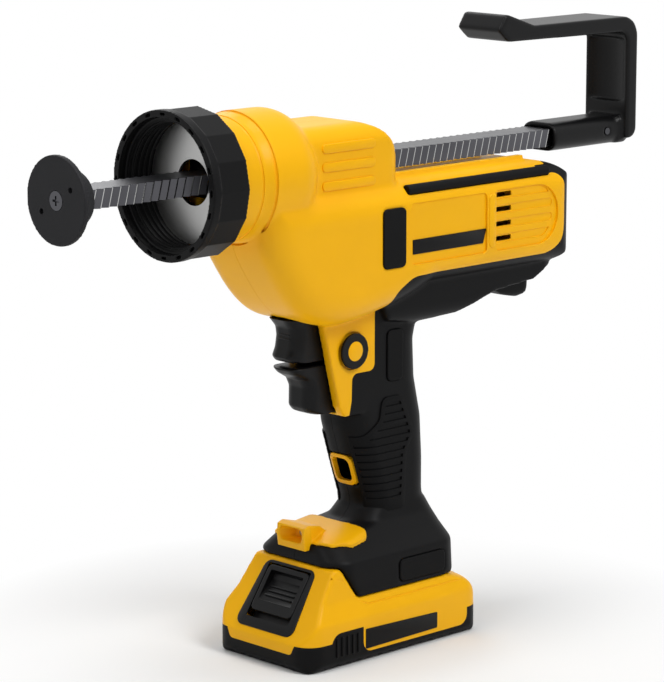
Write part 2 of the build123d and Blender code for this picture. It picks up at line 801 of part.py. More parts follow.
# The yellow part of the shell, seen from the side
with BuildPart() as yellow_form:
    with BuildSketch(Plane.XZ):
        outline(
            (-REACH, REACH),
            (130, REACH),
            (130, 255.5),
            (137, 248),
            (141, 238),
            (141, 226),
            (137, 216),
            (129, 209),
            (118, 207),
            (16, 207),
            (5, 199),
            (2.5, 190),
            (2.5, 158),
            (-0.5, 155),
            (-11.5, 155),
            (-14.5, 152),
            (-15, 140),
            (-17, 131),
            (-REACH, 131),
        )
    extrude(amount=REACH, both=True)
yellow_zone = yellow_form.part
left_zone = block(-REACH, REACH, -REACH, 0, -REACH, REACH)


def largest(piece):
    return Part(piece.solids().sort_by(SortBy.VOLUME)[-1].wrapped)


yellow_shell = shell & yellow_zone
black_shell = shell - yellow_zone
finish(largest(yellow_shell & left_zone), "left_housing")
finish(largest(yellow_shell - left_zone), "right_housing")
finish(largest(black_shell & left_zone), "left_grip")
finish(largest(black_shell - left_zone), "right_grip")

for pad_name, pad in PADS:
    finish(pad, "left_" + pad_name)
    finish(pad.mirror(Plane.XZ), "right_" + pad_name)

with BuildPart() as case_screws:
    for screw_x, screw_z in CASE_SCREWS:
        add(case_screw(screw_x, screw_z, 0, CASE_SCREW_HEAD))
finish(case_screws.part, "case_screws")

# Front plate and collar ring
with BuildPart() as front_plate:
    with BuildSketch(Plane.YZ.offset(PLATE_FRONT_X)):
        with Locations((0, ROD_AXIS_Z)):
            Circle(RING_BORE_RADIUS - RING_GAP)
            Circle(PLATE_HOLE_RADIUS, mode=Mode.SUBTRACT)
    extrude(amount=PLATE_THICKNESS)
finish(front_plate.part, "front_plate")

RING_RIM = 5.0
POCKET_WIDTH = 4.0
POCKET_HEIGHT = 1.4
POCKET_DEPTH = 2.0
POCKET_RADIUS = 37.3
with BuildPart() as collar_ring:
    with BuildSketch(Plane.YZ.offset(RING_FRONT_X)):
        with Locations((0, ROD_AXIS_Z)):
            Circle(RING_RADIUS)
    extrude(amount=RING_RIM)
    with BuildSketch(Plane.YZ.offset(RING_FRONT_X + RING_RIM)):
        with Locations((0, ROD_AXIS_Z)):
            RegularPolygon(RING_RADIUS, RING_FLATS)
    extrude(amount=RING_REAR_X - RING_FRONT_X - RING_RIM)
    add(bar_x(0, ROD_AXIS_Z, RING_BORE_RADIUS, RING_FRONT_X, RING_REAR_X), mode=Mode.SUBTRACT)
    add(
        bar_x(0, ROD_AXIS_Z, RING_LIP_RADIUS, RING_FRONT_X, RING_FRONT_X + RING_LIP_DEPTH),
        mode=Mode.SUBTRACT,
    )
    with BuildSketch(Plane.YZ.offset(RING_FRONT_X)):
        with Locations((0, ROD_AXIS_Z)):
            with PolarLocations(POCKET_RADIUS, POCKET_COUNT):
                Rectangle(POCKET_HEIGHT, POCKET_WIDTH)
    extrude(amount=POCKET_DEPTH, mode=Mode.SUBTRACT)
finish(collar_ring.part, "collar_ring")

# Rod with its teeth, plunger disc, screw, hook and pin
tooth_side = []
for tooth in range(TOOTH_COUNT):
    ridge = FIRST_RIDGE_X + tooth * TOOTH_PITCH
    tooth_side.append((ridge - TOOTH_LAND - TOOTH_RAMP, ROD_ROOT_HALF_WIDTH))
    tooth_side.append((ridge - TOOTH_LAND, ROD_TIP_HALF_WIDTH))
    tooth_side.append((ridge, ROD_TIP_HALF_WIDTH))
    tooth_side.append((ridge + TOOTH_DROP, ROD_ROOT_HALF_WIDTH))
ROD_SPARE = 10.0
rod_side = [(ROD_FRONT_X - ROD_SPARE, ROD_ROOT_HALF_WIDTH)]
rod_side += tooth_side
rod_side += [(ROD_REAR_X + ROD_SPARE, ROD_ROOT_HALF_WIDTH)]
rod_outline = rod_side + [(x, -y) for x, y in reversed(rod_side)]
rod_screw_hole = bar_x(
    0,
    ROD_AXIS_Z,
    SCREW_SHANK_RADIUS + HUB_FIT,
    DISC_FRONT_X,
    DISC_FRONT_X + SCREW_HEAD_HEIGHT + SCREW_SHANK_LENGTH + HUB_FIT,
)
hook_pin_hole = bar_y(HOOK_PIN_X, ROD_AXIS_Z, HOOK_PIN_RADIUS + HUB_FIT, -REACH / 8, REACH / 8)
with BuildPart() as rod:
    with BuildSketch(Plane.XY.offset(ROD_AXIS_Z)):
        outline(*rod_outline)
    extrude(amount=ROD_HALF_HEIGHT / LEAN_COS, dir=SHAFT_DIR, both=True)
    add(block(ROD_FRONT_X, ROD_REAR_X, -20, 20, 200, 300), mode=Mode.INTERSECT)
    add(rod_screw_hole, mode=Mode.SUBTRACT)
    add(hook_pin_hole, mode=Mode.SUBTRACT)
finish(rod.part, "rod")


def rod_hole(x0, x1, fit):
    return block(
        x0,
        x1,
        -ROD_TIP_HALF_WIDTH - fit,
        ROD_TIP_HALF_WIDTH + fit,
        ROD_AXIS_Z - ROD_HALF_HEIGHT - fit,
        ROD_AXIS_Z + ROD_HALF_HEIGHT + fit,
    )


with BuildPart() as plunger_disc:
    with BuildSketch(Plane.XZ):
        with BuildLine():
            Polyline(
                (DISC_FRONT_X, ROD_AXIS_Z),
                (DISC_FRONT_X, ROD_AXIS_Z + DISC_RADIUS),
                (DISC_FRONT_X + DISC_RIM, ROD_AXIS_Z + DISC_RADIUS),
                (DISC_FRONT_X + DISC_RIM, ROD_AXIS_Z + DISC_RADIUS - 2),
                (HUB_REAR_X, ROD_AXIS_Z + HUB_RADIUS),
                (HUB_REAR_X, ROD_AXIS_Z),
                close=True,
            )
        make_face()
    revolve(axis=Axis((0, 0, ROD_AXIS_Z), (1, 0, 0)))
    add(rod_hole(ROD_FRONT_X, HUB_REAR_X, HUB_FIT), mode=Mode.SUBTRACT)
    add(rod_screw_hole, mode=Mode.SUBTRACT)
    add(
        bar_x(0, ROD_AXIS_Z, SCREW_HEAD_RADIUS + HUB_FIT, DISC_FRONT_X, DISC_FRONT_X + SCREW_HEAD_HEIGHT),
        mode=Mode.SUBTRACT,
    )
finish(plunger_disc.part, "plunger_disc")

RECESS_LENGTH = 5.0
RECESS_WIDTH = 1.2
RECESS_DEPTH = 1.0
with BuildPart() as plunger_screw:
    add(bar_x(0, ROD_AXIS_Z, SCREW_HEAD_RADIUS, DISC_FRONT_X, DISC_FRONT_X + SCREW_HEAD_HEIGHT))
    add(
        bar_x(
            0,
            ROD_AXIS_Z,
            SCREW_SHANK_RADIUS,
            DISC_FRONT_X + SCREW_HEAD_HEIGHT,
            DISC_FRONT_X + SCREW_HEAD_HEIGHT + SCREW_SHANK_LENGTH,
        )
    )
    with BuildSketch(Plane.YZ.offset(DISC_FRONT_X)):
        with Locations((0, ROD_AXIS_Z)):
            Rectangle(RECESS_LENGTH, RECESS_WIDTH)
            Rectangle(RECESS_WIDTH, RECESS_LENGTH)
    extrude(amount=RECESS_DEPTH, mode=Mode.SUBTRACT)
finish(plunger_screw.part, "plunger_screw")

HOOK_INNER_X = HOOK_REAR_X - HOOK_PLATE
HOOK_ARM_LOW_Z = HOOK_TOP_Z - HOOK_ARM
HOOK_LOW_Z = RAIL_TOP_Z + CHANNEL_GAP
with BuildPart() as pull_hook:
    with BuildSketch(Plane.XZ):
        with BuildLine():
            FilletPolyline(
                (HOOK_TIP_X, HOOK_ARM_LOW_Z + HOOK_TIP_RISE),
                (HOOK_TIP_X + 8, HOOK_ARM_LOW_Z + 1),
                (HOOK_INNER_X, HOOK_ARM_LOW_Z),
                (HOOK_INNER_X, HOOK_LOW_Z),
                (HOOK_REAR_X, HOOK_LOW_Z),
                (HOOK_REAR_X, HOOK_TOP_Z),
                (HOOK_TIP_X + 30, HOOK_TOP_Z),
                (HOOK_TIP_X + 6, HOOK_TOP_Z + HOOK_TIP_RISE),
                radius=[1.5, 5, 6, 1, 6, HOOK_CORNER, 14, 3],
                close=True,
            )
        make_face()
    extrude(amount=HOOK_HALF_WIDTH, both=True)
    with BuildSketch(Plane.YZ.offset(SLEEVE_FRONT_X)):
        with Locations((0, ROD_AXIS_Z)):
            RectangleRounded(2 * SLEEVE_HALF_WIDTH, 2 * SLEEVE_HALF_HEIGHT, 4)
    extrude(amount=HOOK_REAR_X - 4 - SLEEVE_FRONT_X)
    add(rod_hole(SLEEVE_FRONT_X, ROD_REAR_X, HUB_FIT), mode=Mode.SUBTRACT)
    add(hook_pin_hole, mode=Mode.SUBTRACT)
finish(pull_hook.part, "pull_hook")
finish(bar_y(HOOK_PIN_X, ROD_AXIS_Z, HOOK_PIN_RADIUS, -SLEEVE_HALF_WIDTH, SLEEVE_HALF_WIDTH), "hook_pin")

# Rod guides
for guide_name, guide_x in (("front_guide", FRONT_GUIDE_X), ("rear_guide", REAR_GUIDE_X)):
    with BuildPart() as rod_guide:
        add(guide(guide_x, 0))
        add(rod_hole(-REACH, REACH, ROD_RUNNING), mode=Mode.SUBTRACT)
    finish(rod_guide.part, guide_name)

# Bearing plates, bushes, pinions, gearbox and motor
finish(upper_plate_part, "upper_bearing_plate")
finish(lower_plate_part, "lower_bearing_plate")
BUSH_FIT = 0.02
for bush_name, bush_low, bush_high in (
    ("upper_bushes", UPPER_PLATE_LOW, UPPER_PLATE_HIGH),
    ("lower_bushes", LOWER_PLATE_LOW, LOWER_PLATE_HIGH),
):
    with BuildPart() as bushes:
        with BuildSketch(along_shaft(0, bush_low)):
            with Locations((0, PINION_Y), (0, -PINION_Y)):
                Circle(SHAFT_RADIUS + BUSH_WALL - BUSH_FIT)
                Circle(SHAFT_RADIUS + SHAFT_RUNNING, mode=Mode.SUBTRACT)
        extrude(amount=bush_high - bush_low)
    finish(bushes.part, bush_name)


def pinion(side):
    with BuildPart() as solid:
        with BuildSketch(along_shaft(side, SHAFT_LOW)):
            Circle(SHAFT_RADIUS)
        extrude(amount=SHAFT_HIGH - SHAFT_LOW)
        with BuildSketch(along_shaft(side, -PINION_FACE / 2)):
            Circle(PINION_ROOT_RADIUS)
            with PolarLocations(0, PINION_TEETH, start_angle=90):
                Polygon(
                    (0, -PINION_ROOT_WIDTH / 2),
                    (PINION_ROOT_RADIUS, -PINION_ROOT_WIDTH / 2),
                    (PINION_TIP_RADIUS, -PINION_TIP_WIDTH / 2),
                    (PINION_TIP_RADIUS, PINION_TIP_WIDTH / 2),
                    (PINION_ROOT_RADIUS, PINION_ROOT_WIDTH / 2),
                    (0, PINION_ROOT_WIDTH / 2),
                    align=None,
                )
        extrude(amount=PINION_FACE)
    return solid.part


finish(pinion(-1), "left_pinion")
finish(pinion(1), "right_pinion")

with BuildPart() as gearbox:
    add(bar_x(0, MOTOR_AXIS_Z, GEARBOX_RADIUS, GEARBOX_FRONT_X, GEARBOX_REAR_X))
    with BuildSketch(along_shaft(0, SHAFT_LOW - 0.5)):
        with Locations((0, PINION_Y), (0, -PINION_Y)):
            Circle(SHAFT_RADIUS + SHAFT_RUNNING)
    extrude(amount=SHAFT_HIGH - SHAFT_LOW, mode=Mode.SUBTRACT)
finish(gearbox.part, "gearbox")
finish(bar_x(0, MOTOR_AXIS_Z, MOTOR_RADIUS, MOTOR_FRONT_X, MOTOR_BACK_X), "motor_can")
ENDBELL_RADIUS = 16.0
with BuildPart() as motor_end_bell:
    add(bar_x(0, MOTOR_AXIS_Z, ENDBELL_RADIUS, MOTOR_BACK_X, MOTOR_BACK_X + ENDBELL_LENGTH - 4))
    add(bar_x(0, MOTOR_AXIS_Z, ENDBELL_RADIUS / 2, MOTOR_BACK_X, ENDBELL_BACK_X))
finish(motor_end_bell.part, "motor_end_bell")

# Controls
with BuildPart() as trigger:
    with BuildSketch(Plane.XZ):
        outline(
            (-54, TRIGGER_HIGH_Z),
            (-49.5, 183),
            (-48.7, 178),
            (-49.8, 171.5),
            (-52, 167),
            (-50, 164.5),
            (-47, TRIGGER_SPLIT_Z + TRIGGER_SLIT / 2),
            (BUTTON_X - 13, TRIGGER_SPLIT_Z + TRIGGER_SLIT / 2),
            (BUTTON_X - 13, BUTTON_Z + BUTTON_BOLT_RADIUS + 1.5),
            (TRIGGER_REAR_X, BUTTON_Z + BUTTON_BOLT_RADIUS + 1.5),
            (TRIGGER_REAR_X, TRIGGER_HIGH_Z),
        )
    extrude(amount=TRIGGER_HALF_WIDTH, both=True)
finish(trigger.part, "trigger")
with BuildPart() as release_lever:
    with BuildSketch(Plane.XZ):
        outline(
            (-51, 160.3),
            (-48.4, 157.5),
            (-42, 153.8),
            (-39.6, 149),
            (-39.8, 138.2),
            (-37.5, 135.4),
            (-34, TRIGGER_LOW_Z),
            (TRIGGER_REAR_X, TRIGGER_LOW_Z),
            (TRIGGER_REAR_X, TRIGGER_SPLIT_Z - TRIGGER_SLIT / 2),
            (-48, TRIGGER_SPLIT_Z - TRIGGER_SLIT / 2),
        )
    extrude(amount=TRIGGER_HALF_WIDTH, both=True)
finish(release_lever.part, "release_lever")

BUTTON_LEFT_Y = -(HANDLE_HALF_WIDTH - BUTTON_RECESS) - BUTTON_TRAVEL
BUTTON_RIGHT_Y = HANDLE_HALF_WIDTH - BUTTON_RECESS
with BuildPart() as lock_button:
    add(bar_y(BUTTON_X, BUTTON_Z, BUTTON_BOLT_RADIUS, BUTTON_LEFT_Y, BUTTON_RIGHT_Y))
    add(bar_y(BUTTON_X, BUTTON_Z, BUTTON_RADIUS, BUTTON_LEFT_Y - BUTTON_HEAD, BUTTON_LEFT_Y))
    add(bar_y(BUTTON_X, BUTTON_Z, BUTTON_RADIUS, BUTTON_RIGHT_Y, BUTTON_RIGHT_Y + BUTTON_HEAD))
finish(lock_button.part, "lock_button")

with BuildPart() as speed_dial:
    with BuildSketch(Plane.XY.offset(DIAL_Z - DIAL_THICKNESS / 2)):
        with Locations((DIAL_X, 0)):
            Circle(DIAL_RADIUS)
    extrude(amount=DIAL_THICKNESS)
    with BuildSketch(Plane.XY.offset(DIAL_Z + DIAL_THICKNESS / 2)):
        with Locations((DIAL_X, 0)):
            Circle(DIAL_PIN_RADIUS)
    extrude(amount=DIAL_BRACKET_HIGH - DIAL_Z - DIAL_THICKNESS / 2)
finish(speed_dial.part, "speed_dial")
finish(
    block(BOARD_X, BOARD_X + BOARD_THICKNESS, -BOARD_HALF_WIDTH, BOARD_HALF_WIDTH, BOARD_LOW_Z, BOARD_HIGH_Z),
    "control_board",
)
finish(
    block(
        SWITCH_FRONT_X,
        SWITCH_REAR_X,
        -SWITCH_HALF_WIDTH,
        SWITCH_HALF_WIDTH,
        SWITCH_LOW_Z,
        SWITCH_HIGH_Z,
    ),
    "trigger_switch",
)
with BuildPart() as terminal_block:
    add(
        block(
            TERMINAL_FRONT_X,
            TERMINAL_REAR_X,
            -TERMINAL_HALF_WIDTH,
            TERMINAL_HALF_WIDTH,
            TERMINAL_LOW_Z,
            TERMINAL_HIGH_Z,
        )
    )
    for blade_y in (-BLADE_Y, BLADE_Y):
        add(
            block(
                BLADE_FRONT_X,
                BLADE_REAR_X,
                blade_y - BLADE_THICKNESS / 2,
                blade_y + BLADE_THICKNESS / 2,
                BLADE_LOW_Z,
                TERMINAL_LOW_Z,
            )
        )
finish(terminal_block.part, "terminal_block")

# Pocket frame in the handle and the light on the foot
FRAME_GAP = 0.1
with BuildPart() as pocket_frame:
    add(
        side_prism(
            (
                (-4.6, POCKET_LOW_Z + FRAME_GAP),
                (-9.4, POCKET_HIGH_Z - FRAME_GAP),
                (POCKET_REAR_X - FRAME_GAP, POCKET_HIGH_Z - FRAME_GAP),
                (POCKET_REAR_X - FRAME_GAP, POCKET_LOW_Z + FRAME_GAP),
            ),
            POCKET_HALF_WIDTH - FRAME_GAP,
        )
    )
    add(
        block(
            -40,
            POCKET_REAR_X - FRAME_GAP - POCKET_WALL,
            -POCKET_HALF_WIDTH + FRAME_GAP + POCKET_WALL,
            POCKET_HALF_WIDTH - FRAME_GAP - POCKET_WALL,
            POCKET_LOW_Z + FRAME_GAP + POCKET_WALL,
            POCKET_HIGH_Z - FRAME_GAP - POCKET_WALL,
        ),
        mode=Mode.SUBTRACT,
    )
finish(pocket_frame.part, "pocket_frame")

HOOD_HALF_WIDTH = 11.0
HOOD_TAIL_HALF_WIDTH = 5.0
HOOD_TAIL_X = -20.0
HOOD_RIM_X = -45.0
HOOD_PLATE = 1.4
LENS_RADIUS = 2.2
LENS_SOCKET = 3.2
LENS_FLOOR_X = -36.0
LENS_Z = FOOT_DECK_Z + 4.5
with BuildPart() as hood_funnel:
    with BuildSketch(Plane.YZ.offset(HOOD_RIM_X - 1)):
        rounded_rect(-9.5, 9.5, FOOT_DECK_Z + 0.8, FOOT_DECK_Z + 9, 3)
    with BuildSketch(Plane.YZ.offset(LENS_FLOOR_X)):
        rounded_rect(-4.2, 4.2, LENS_Z - 3, LENS_Z + 3, 2)
    loft(ruled=True)
with BuildPart() as hood_body:
    with BuildSketch(Plane.XY.offset(FOOT_SIDE_Z)):
        outline(
            (HOOD_RIM_X, -HOOD_HALF_WIDTH),
            (-40, -HOOD_HALF_WIDTH),
            (HOOD_TAIL_X, -HOOD_TAIL_HALF_WIDTH),
            (HOOD_TAIL_X, HOOD_TAIL_HALF_WIDTH),
            (-40, HOOD_HALF_WIDTH),
            (HOOD_RIM_X, HOOD_HALF_WIDTH),
        )
    extrude(amount=REACH / 10)
    add(
        side_prism(
            (
                (-44, FOOT_DECK_Z - 3),
                (HOOD_RIM_X, FOOT_DECK_Z + 4),
                (-44.5, FOOT_DECK_Z + 9.5),
                (-41, FOOT_DECK_Z + 11),
                (-30, FOOT_DECK_Z + 8.5),
                (HOOD_TAIL_X, FOOT_DECK_Z + 2),
                (HOOD_TAIL_X, FOOT_DECK_Z - 3),
            ),
            HOOD_HALF_WIDTH,
        ),
        mode=Mode.INTERSECT,
    )
with BuildPart() as light_hood:
    with BuildSketch(Plane.XY.offset(FOOT_SIDE_Z)):
        outline(
            (-39, -14),
            (-35, -24),
            (-24, -27.5),
            (-7, -25.5),
            (-2, -12),
            (-2, 12),
            (-7, 25.5),
            (-24, 27.5),
            (-35, 24),
            (-39, 14),
        )
    extrude(amount=REACH / 10)
    add(foot(-HOOD_PLATE), mode=Mode.INTERSECT)
    add(hood_body.part)
    add(foot(0), mode=Mode.SUBTRACT)
    add(handle(0), mode=Mode.SUBTRACT)
    add(hood_funnel.part, mode=Mode.SUBTRACT)
    with BuildSketch(Plane.YZ.offset(LENS_FLOOR_X)):
        with Locations((0, LENS_Z)):
            Circle(LENS_RADIUS + SEAT_GAP)
    extrude(amount=LENS_SOCKET, mode=Mode.SUBTRACT)
finish(largest(light_hood.part), "light_hood")
with BuildPart() as light_lens:
    with Locations((LENS_FLOOR_X + LENS_SOCKET - LENS_RADIUS - SEAT_GAP, 0, LENS_Z)):
        Sphere(LENS_RADIUS)
finish(light_lens.part, "light_lens")

# Battery pack
SLOPE_RUN = PACK_SLOPE_X + PACK_HALF_LENGTH
SLOPE_RISE = HEAD_TOP_Z - PACK_SEAM_Z
SLOPE_LENGTH = (SLOPE_RUN**2 + SLOPE_RISE**2) ** 0.5
PACK_TOP_Z = FOOT_BOTTOM_Z - PACK_GAP


def pack(inset):
    def side():
        outline(
            (-PACK_HALF_LENGTH + 3, 0),
            (-PACK_HALF_LENGTH, 4),
            (-PACK_HALF_LENGTH, PACK_SEAM_Z),
            (PACK_SLOPE_X, HEAD_TOP_Z),
            (HEAD_STEP_FRONT_X, HEAD_TOP_Z),
            (HEAD_STEP_REAR_X, PACK_TOP_Z),
            (PACK_HALF_LENGTH - 9, PACK_TOP_Z),
            (PACK_HALF_LENGTH - 3, PACK_TOP_Z - 5),
            (PACK_HALF_LENGTH, PACK_TOP_Z - 14),
            (PACK_HALF_LENGTH, 4),
            (PACK_HALF_LENGTH - 3, 0),
        )

    def plan():
        rounded_rect(-PACK_HALF_LENGTH, PACK_HALF_LENGTH, -PACK_HALF_WIDTH, PACK_HALF_WIDTH, PACK_ROUND)

    def front():
        outline(
            (-PACK_HALF_WIDTH + 3, 0),
            (-PACK_HALF_WIDTH, 4),
            (-PACK_HALF_WIDTH, PACK_SHOULDER_Z),
            (-FOOT_HALF_WIDTH + 0.5, PACK_TOP_Z),
            (-FOOT_HALF_WIDTH + 3, HEAD_TOP_Z),
            (FOOT_HALF_WIDTH - 3, HEAD_TOP_Z),
            (FOOT_HALF_WIDTH - 0.5, PACK_TOP_Z),
            (PACK_HALF_WIDTH, PACK_SHOULDER_Z),
            (PACK_HALF_WIDTH, 4),
            (PACK_HALF_WIDTH - 3, 0),
        )

    return crossed(side, plan, front, inset)


slope_plane = Plane(
    origin=(-PACK_HALF_LENGTH, 0, PACK_SEAM_Z),
    x_dir=(SLOPE_RUN / SLOPE_LENGTH, 0, SLOPE_RISE / SLOPE_LENGTH),
    z_dir=(-SLOPE_RISE / SLOPE_LENGTH, 0, SLOPE_RUN / SLOPE_LENGTH),
)
LATCH_TOP = SLOPE_LENGTH - 5.0
LATCH_PROUD = 0.6


def slope_block(low, high, half_width, depth, proud):
    """A block let into the sloping front of the pack."""
    with BuildPart() as solid:
        with BuildSketch(slope_plane.offset(-depth)):
            with Locations(((low + high) / 2, 0)):
                RectangleRounded(high - low, 2 * half_width, 3)
        extrude(amount=depth + proud)
    return solid.part


latch_recess = slope_block(
    LATCH_TOP - LATCH_LENGTH - LATCH_TRAVEL - LATCH_GAP,
    LATCH_TOP + LATCH_GAP,
    LATCH_HALF_WIDTH + LATCH_GAP,
    LATCH_THICKNESS + LATCH_GAP,
    10,
)
latch_bed = slope_block(
    LATCH_TOP - LATCH_LENGTH - LATCH_TRAVEL - LATCH_GAP - PACK_WALL,
    LATCH_TOP + LATCH_GAP + PACK_WALL,
    LATCH_HALF_WIDTH + LATCH_GAP + PACK_WALL,
    LATCH_THICKNESS + LATCH_GAP + PACK_WALL,
    10,
)
tongue = joined(
    [
        block(
            HEAD_STEP_REAR_X - 2,
            TONGUE_REAR_X,
            -TONGUE_HALF_WIDTH,
            TONGUE_HALF_WIDTH,
            PACK_TOP_Z - 1,
            FOOT_BOTTOM_Z + TONGUE_NECK + TONGUE_FLANGE,
        ),
        block(
            HEAD_STEP_REAR_X - 2,
            TONGUE_REAR_X,
            -TONGUE_HALF_WIDTH - TONGUE_LIP,
            TONGUE_HALF_WIDTH + TONGUE_LIP,
            FOOT_BOTTOM_Z + TONGUE_NECK,
            FOOT_BOTTOM_Z + TONGUE_NECK + TONGUE_FLANGE,
        ),
    ]
)
BLADE_SLIT = 0.8
blade_slits = joined(
    [
        block(
            BLADE_FRONT_X - BLADE_SLIT,
            TONGUE_REAR_X + 5,
            blade_y - BLADE_THICKNESS / 2 - BLADE_SLIT,
            blade_y + BLADE_THICKNESS / 2 + BLADE_SLIT,
            BLADE_LOW_Z - BLADE_SLIT,
            TERMINAL_LOW_Z,
        )
        for blade_y in (-BLADE_Y, BLADE_Y)
    ]
)
PACK_SCREW_RADIUS = 1.5
PACK_SCREW_HEAD_RADIUS = 3.0
PACK_SCREW_HEAD = 2.0
PACK_SCREW_SEAT = 4.0
PACK_SCREW_TOP = 23.0
PACK_BOSS_RADIUS = 4.0
PACK_SCREW_FIT = 0.05
PACK_SCREW_X = 58.5
PACK_SCREW_Y = 26.0


def bar_z(x, y, radius, z0, z1):
    """A round bar along Z."""
    with BuildPart() as solid:
        with BuildSketch(Plane.XY.offset(z0)):
            with Locations((x, y)):
                Circle(radius)
        extrude(amount=z1 - z0)
    return solid.part


PACK_SCREWS = [(x, y) for x in (-PACK_SCREW_X, PACK_SCREW_X) for y in (-PACK_SCREW_Y, PACK_SCREW_Y)]
pack_bosses = joined([bar_z(x, y, PACK_BOSS_RADIUS, 0, REACH) for x, y in PACK_SCREWS])
with BuildPart() as pack_shell_form:
    add(pack(0))
    add(pack(PACK_WALL) - pack_bosses - latch_bed, mode=Mode.SUBTRACT)
    add(tongue)
    add(latch_recess, mode=Mode.SUBTRACT)
    add(blade_slits, mode=Mode.SUBTRACT)
    for screw_x, screw_y in PACK_SCREWS:
        add(
            bar_z(screw_x, screw_y, PACK_SCREW_RADIUS + PACK_SCREW_FIT, 0, PACK_SCREW_TOP + 1),
            mode=Mode.SUBTRACT,
        )
        add(
            bar_z(screw_x, screw_y, PACK_SCREW_HEAD_RADIUS + PACK_SCREW_FIT, 0, PACK_SCREW_SEAT),
            mode=Mode.SUBTRACT,
        )
pack_shell = pack_shell_form.part


def pack_side_zone(x0, x1, z0, z1):
    """A zone of the pack's left side wall."""
    with BuildPart() as solid:
        with BuildSketch(Plane.XZ.offset(PACK_HALF_WIDTH - PACK_WALL)):
            rounded_rect(x0, x1, z0, z1, SIDE_PLATE_ROUND)
        extrude(amount=2 * PACK_WALL)
    return solid.part


# The yellow case comes down in a plate on each side and at the front, and the base goes up beside the plates
side_plate = pack_side_zone(
    SIDE_PLATE_FRONT_X,
    SIDE_PLATE_REAR_X,
    SIDE_PLATE_LOW_Z,
    PACK_SEAM_Z + SIDE_PLATE_ROUND,
)
ribbed_end = pack_side_zone(
    RIBBED_END_FRONT_X,
    SIDE_PLATE_FRONT_X,
    PACK_SEAM_Z - 2 * SIDE_PLATE_ROUND,
    RIBBED_END_TOP_Z,
)
front_drop = block(
    -REACH,
    -PACK_HALF_LENGTH + PACK_WALL,
    -PACK_DROP_HALF_WIDTH,
    PACK_DROP_HALF_WIDTH,
    PACK_DROP_Z,
    REACH,
)
below_seam = block(-REACH, REACH, -REACH, REACH, -REACH, PACK_SEAM_Z)
below_seam = below_seam - side_plate - side_plate.mirror(Plane.XZ) - front_drop
below_seam = below_seam + ribbed_end + ribbed_end.mirror(Plane.XZ)
finish(largest(pack_shell - below_seam), "battery_case")
finish(largest(pack_shell & below_seam), "battery_base")

with BuildPart() as battery_screws:
    for screw_x, screw_y in PACK_SCREWS:
        add(bar_z(screw_x, screw_y, PACK_SCREW_RADIUS, PACK_SCREW_SEAT, PACK_SCREW_TOP))
        add(
            bar_z(
                screw_x,
                screw_y,
                PACK_SCREW_HEAD_RADIUS,
                PACK_SCREW_SEAT - PACK_SCREW_HEAD,
                PACK_SCREW_SEAT,
            )
        )
finish(battery_screws.part, "battery_screws")

finish(
    slope_block(
        LATCH_TOP - LATCH_LENGTH,
        LATCH_TOP,
        LATCH_HALF_WIDTH,
        LATCH_THICKNESS,
        LATCH_PROUD,
    ),
    "latch_button",
)

CELL_GAP = 0.1
cell_places = [(place - (CELL_COUNT - 1) / 2) * CELL_STEP + 2 for place in range(CELL_COUNT)]
for cell_index, cell_x in enumerate(cell_places):
    cell = bar_y(cell_x, CELL_Z, CELL_RADIUS, -CELL_LENGTH / 2, CELL_LENGTH / 2)
    finish(cell, "cell_" + str(cell_index + 1))
CRADLE_HALF_WIDTH = 28.0
with BuildPart() as cell_cradle:
    add(
        block(
            cell_places[0] - CELL_STEP / 2,
            cell_places[-1] + CELL_STEP / 2,
            -CRADLE_HALF_WIDTH,
            CRADLE_HALF_WIDTH,
            PACK_WALL,
            CELL_Z - 3,
        )
    )
    for cell_x in cell_places:
        add(bar_y(cell_x, CELL_Z, CELL_RADIUS + CELL_GAP, -REACH / 8, REACH / 8), mode=Mode.SUBTRACT)
finish(cell_cradle.part, "cell_cradle")
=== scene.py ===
import json
from math import cos, pi, radians, sin, tan

import bmesh
import bpy
import numpy as np
from mathutils import Matrix, Vector


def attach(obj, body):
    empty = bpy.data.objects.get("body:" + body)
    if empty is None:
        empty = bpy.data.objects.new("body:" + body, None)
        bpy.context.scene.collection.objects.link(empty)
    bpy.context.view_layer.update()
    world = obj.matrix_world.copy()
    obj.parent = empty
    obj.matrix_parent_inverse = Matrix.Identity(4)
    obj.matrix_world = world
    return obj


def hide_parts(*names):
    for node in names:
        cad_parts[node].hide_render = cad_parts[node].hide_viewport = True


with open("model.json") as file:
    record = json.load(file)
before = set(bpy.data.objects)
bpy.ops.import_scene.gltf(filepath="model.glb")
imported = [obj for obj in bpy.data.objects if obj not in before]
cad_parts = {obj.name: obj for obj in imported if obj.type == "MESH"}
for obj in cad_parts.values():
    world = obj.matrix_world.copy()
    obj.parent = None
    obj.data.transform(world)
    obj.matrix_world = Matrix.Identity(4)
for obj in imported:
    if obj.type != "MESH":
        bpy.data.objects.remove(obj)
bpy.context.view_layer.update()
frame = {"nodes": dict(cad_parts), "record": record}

bl_info = {
    "name": "Caulking gun dressing",
    "version": (1, 1, 0),
    "blender": (4, 5, 0),
    "location": "View3D > Sidebar > Gun",
    "description": "Dresses the packed caulking gun with moulded shells, pads, ribs and finishes",
    "category": "Object",
}

finishes = {}
trees = {}

# Lengths below are in mm, in the frame of the solids: nose towards -X, left side towards -Y
MM = 0.001
REACH = 500.0
ROD_Z = 268.0
BODY_SIDE = 34.0
BODY_TOP_Z = 258.8
TAIL_REAR_X = 148.0
BOX_SIDE = 26.5
HANDLE_SIDE = 17.0
HANDLE_ROUND = 14.0
PACK_SIDE = 38.0
SEAM_GAP = 0.1
# Width of the slow drift of tone over a surface
DRIFT = 38.0

LEFT = (0, -1, 0)
FORWARD = (-1, 0, 0)
ALONG = (1, 0, 0)
ACROSS = (0, 1, 0)
UP = (0, 0, 1)

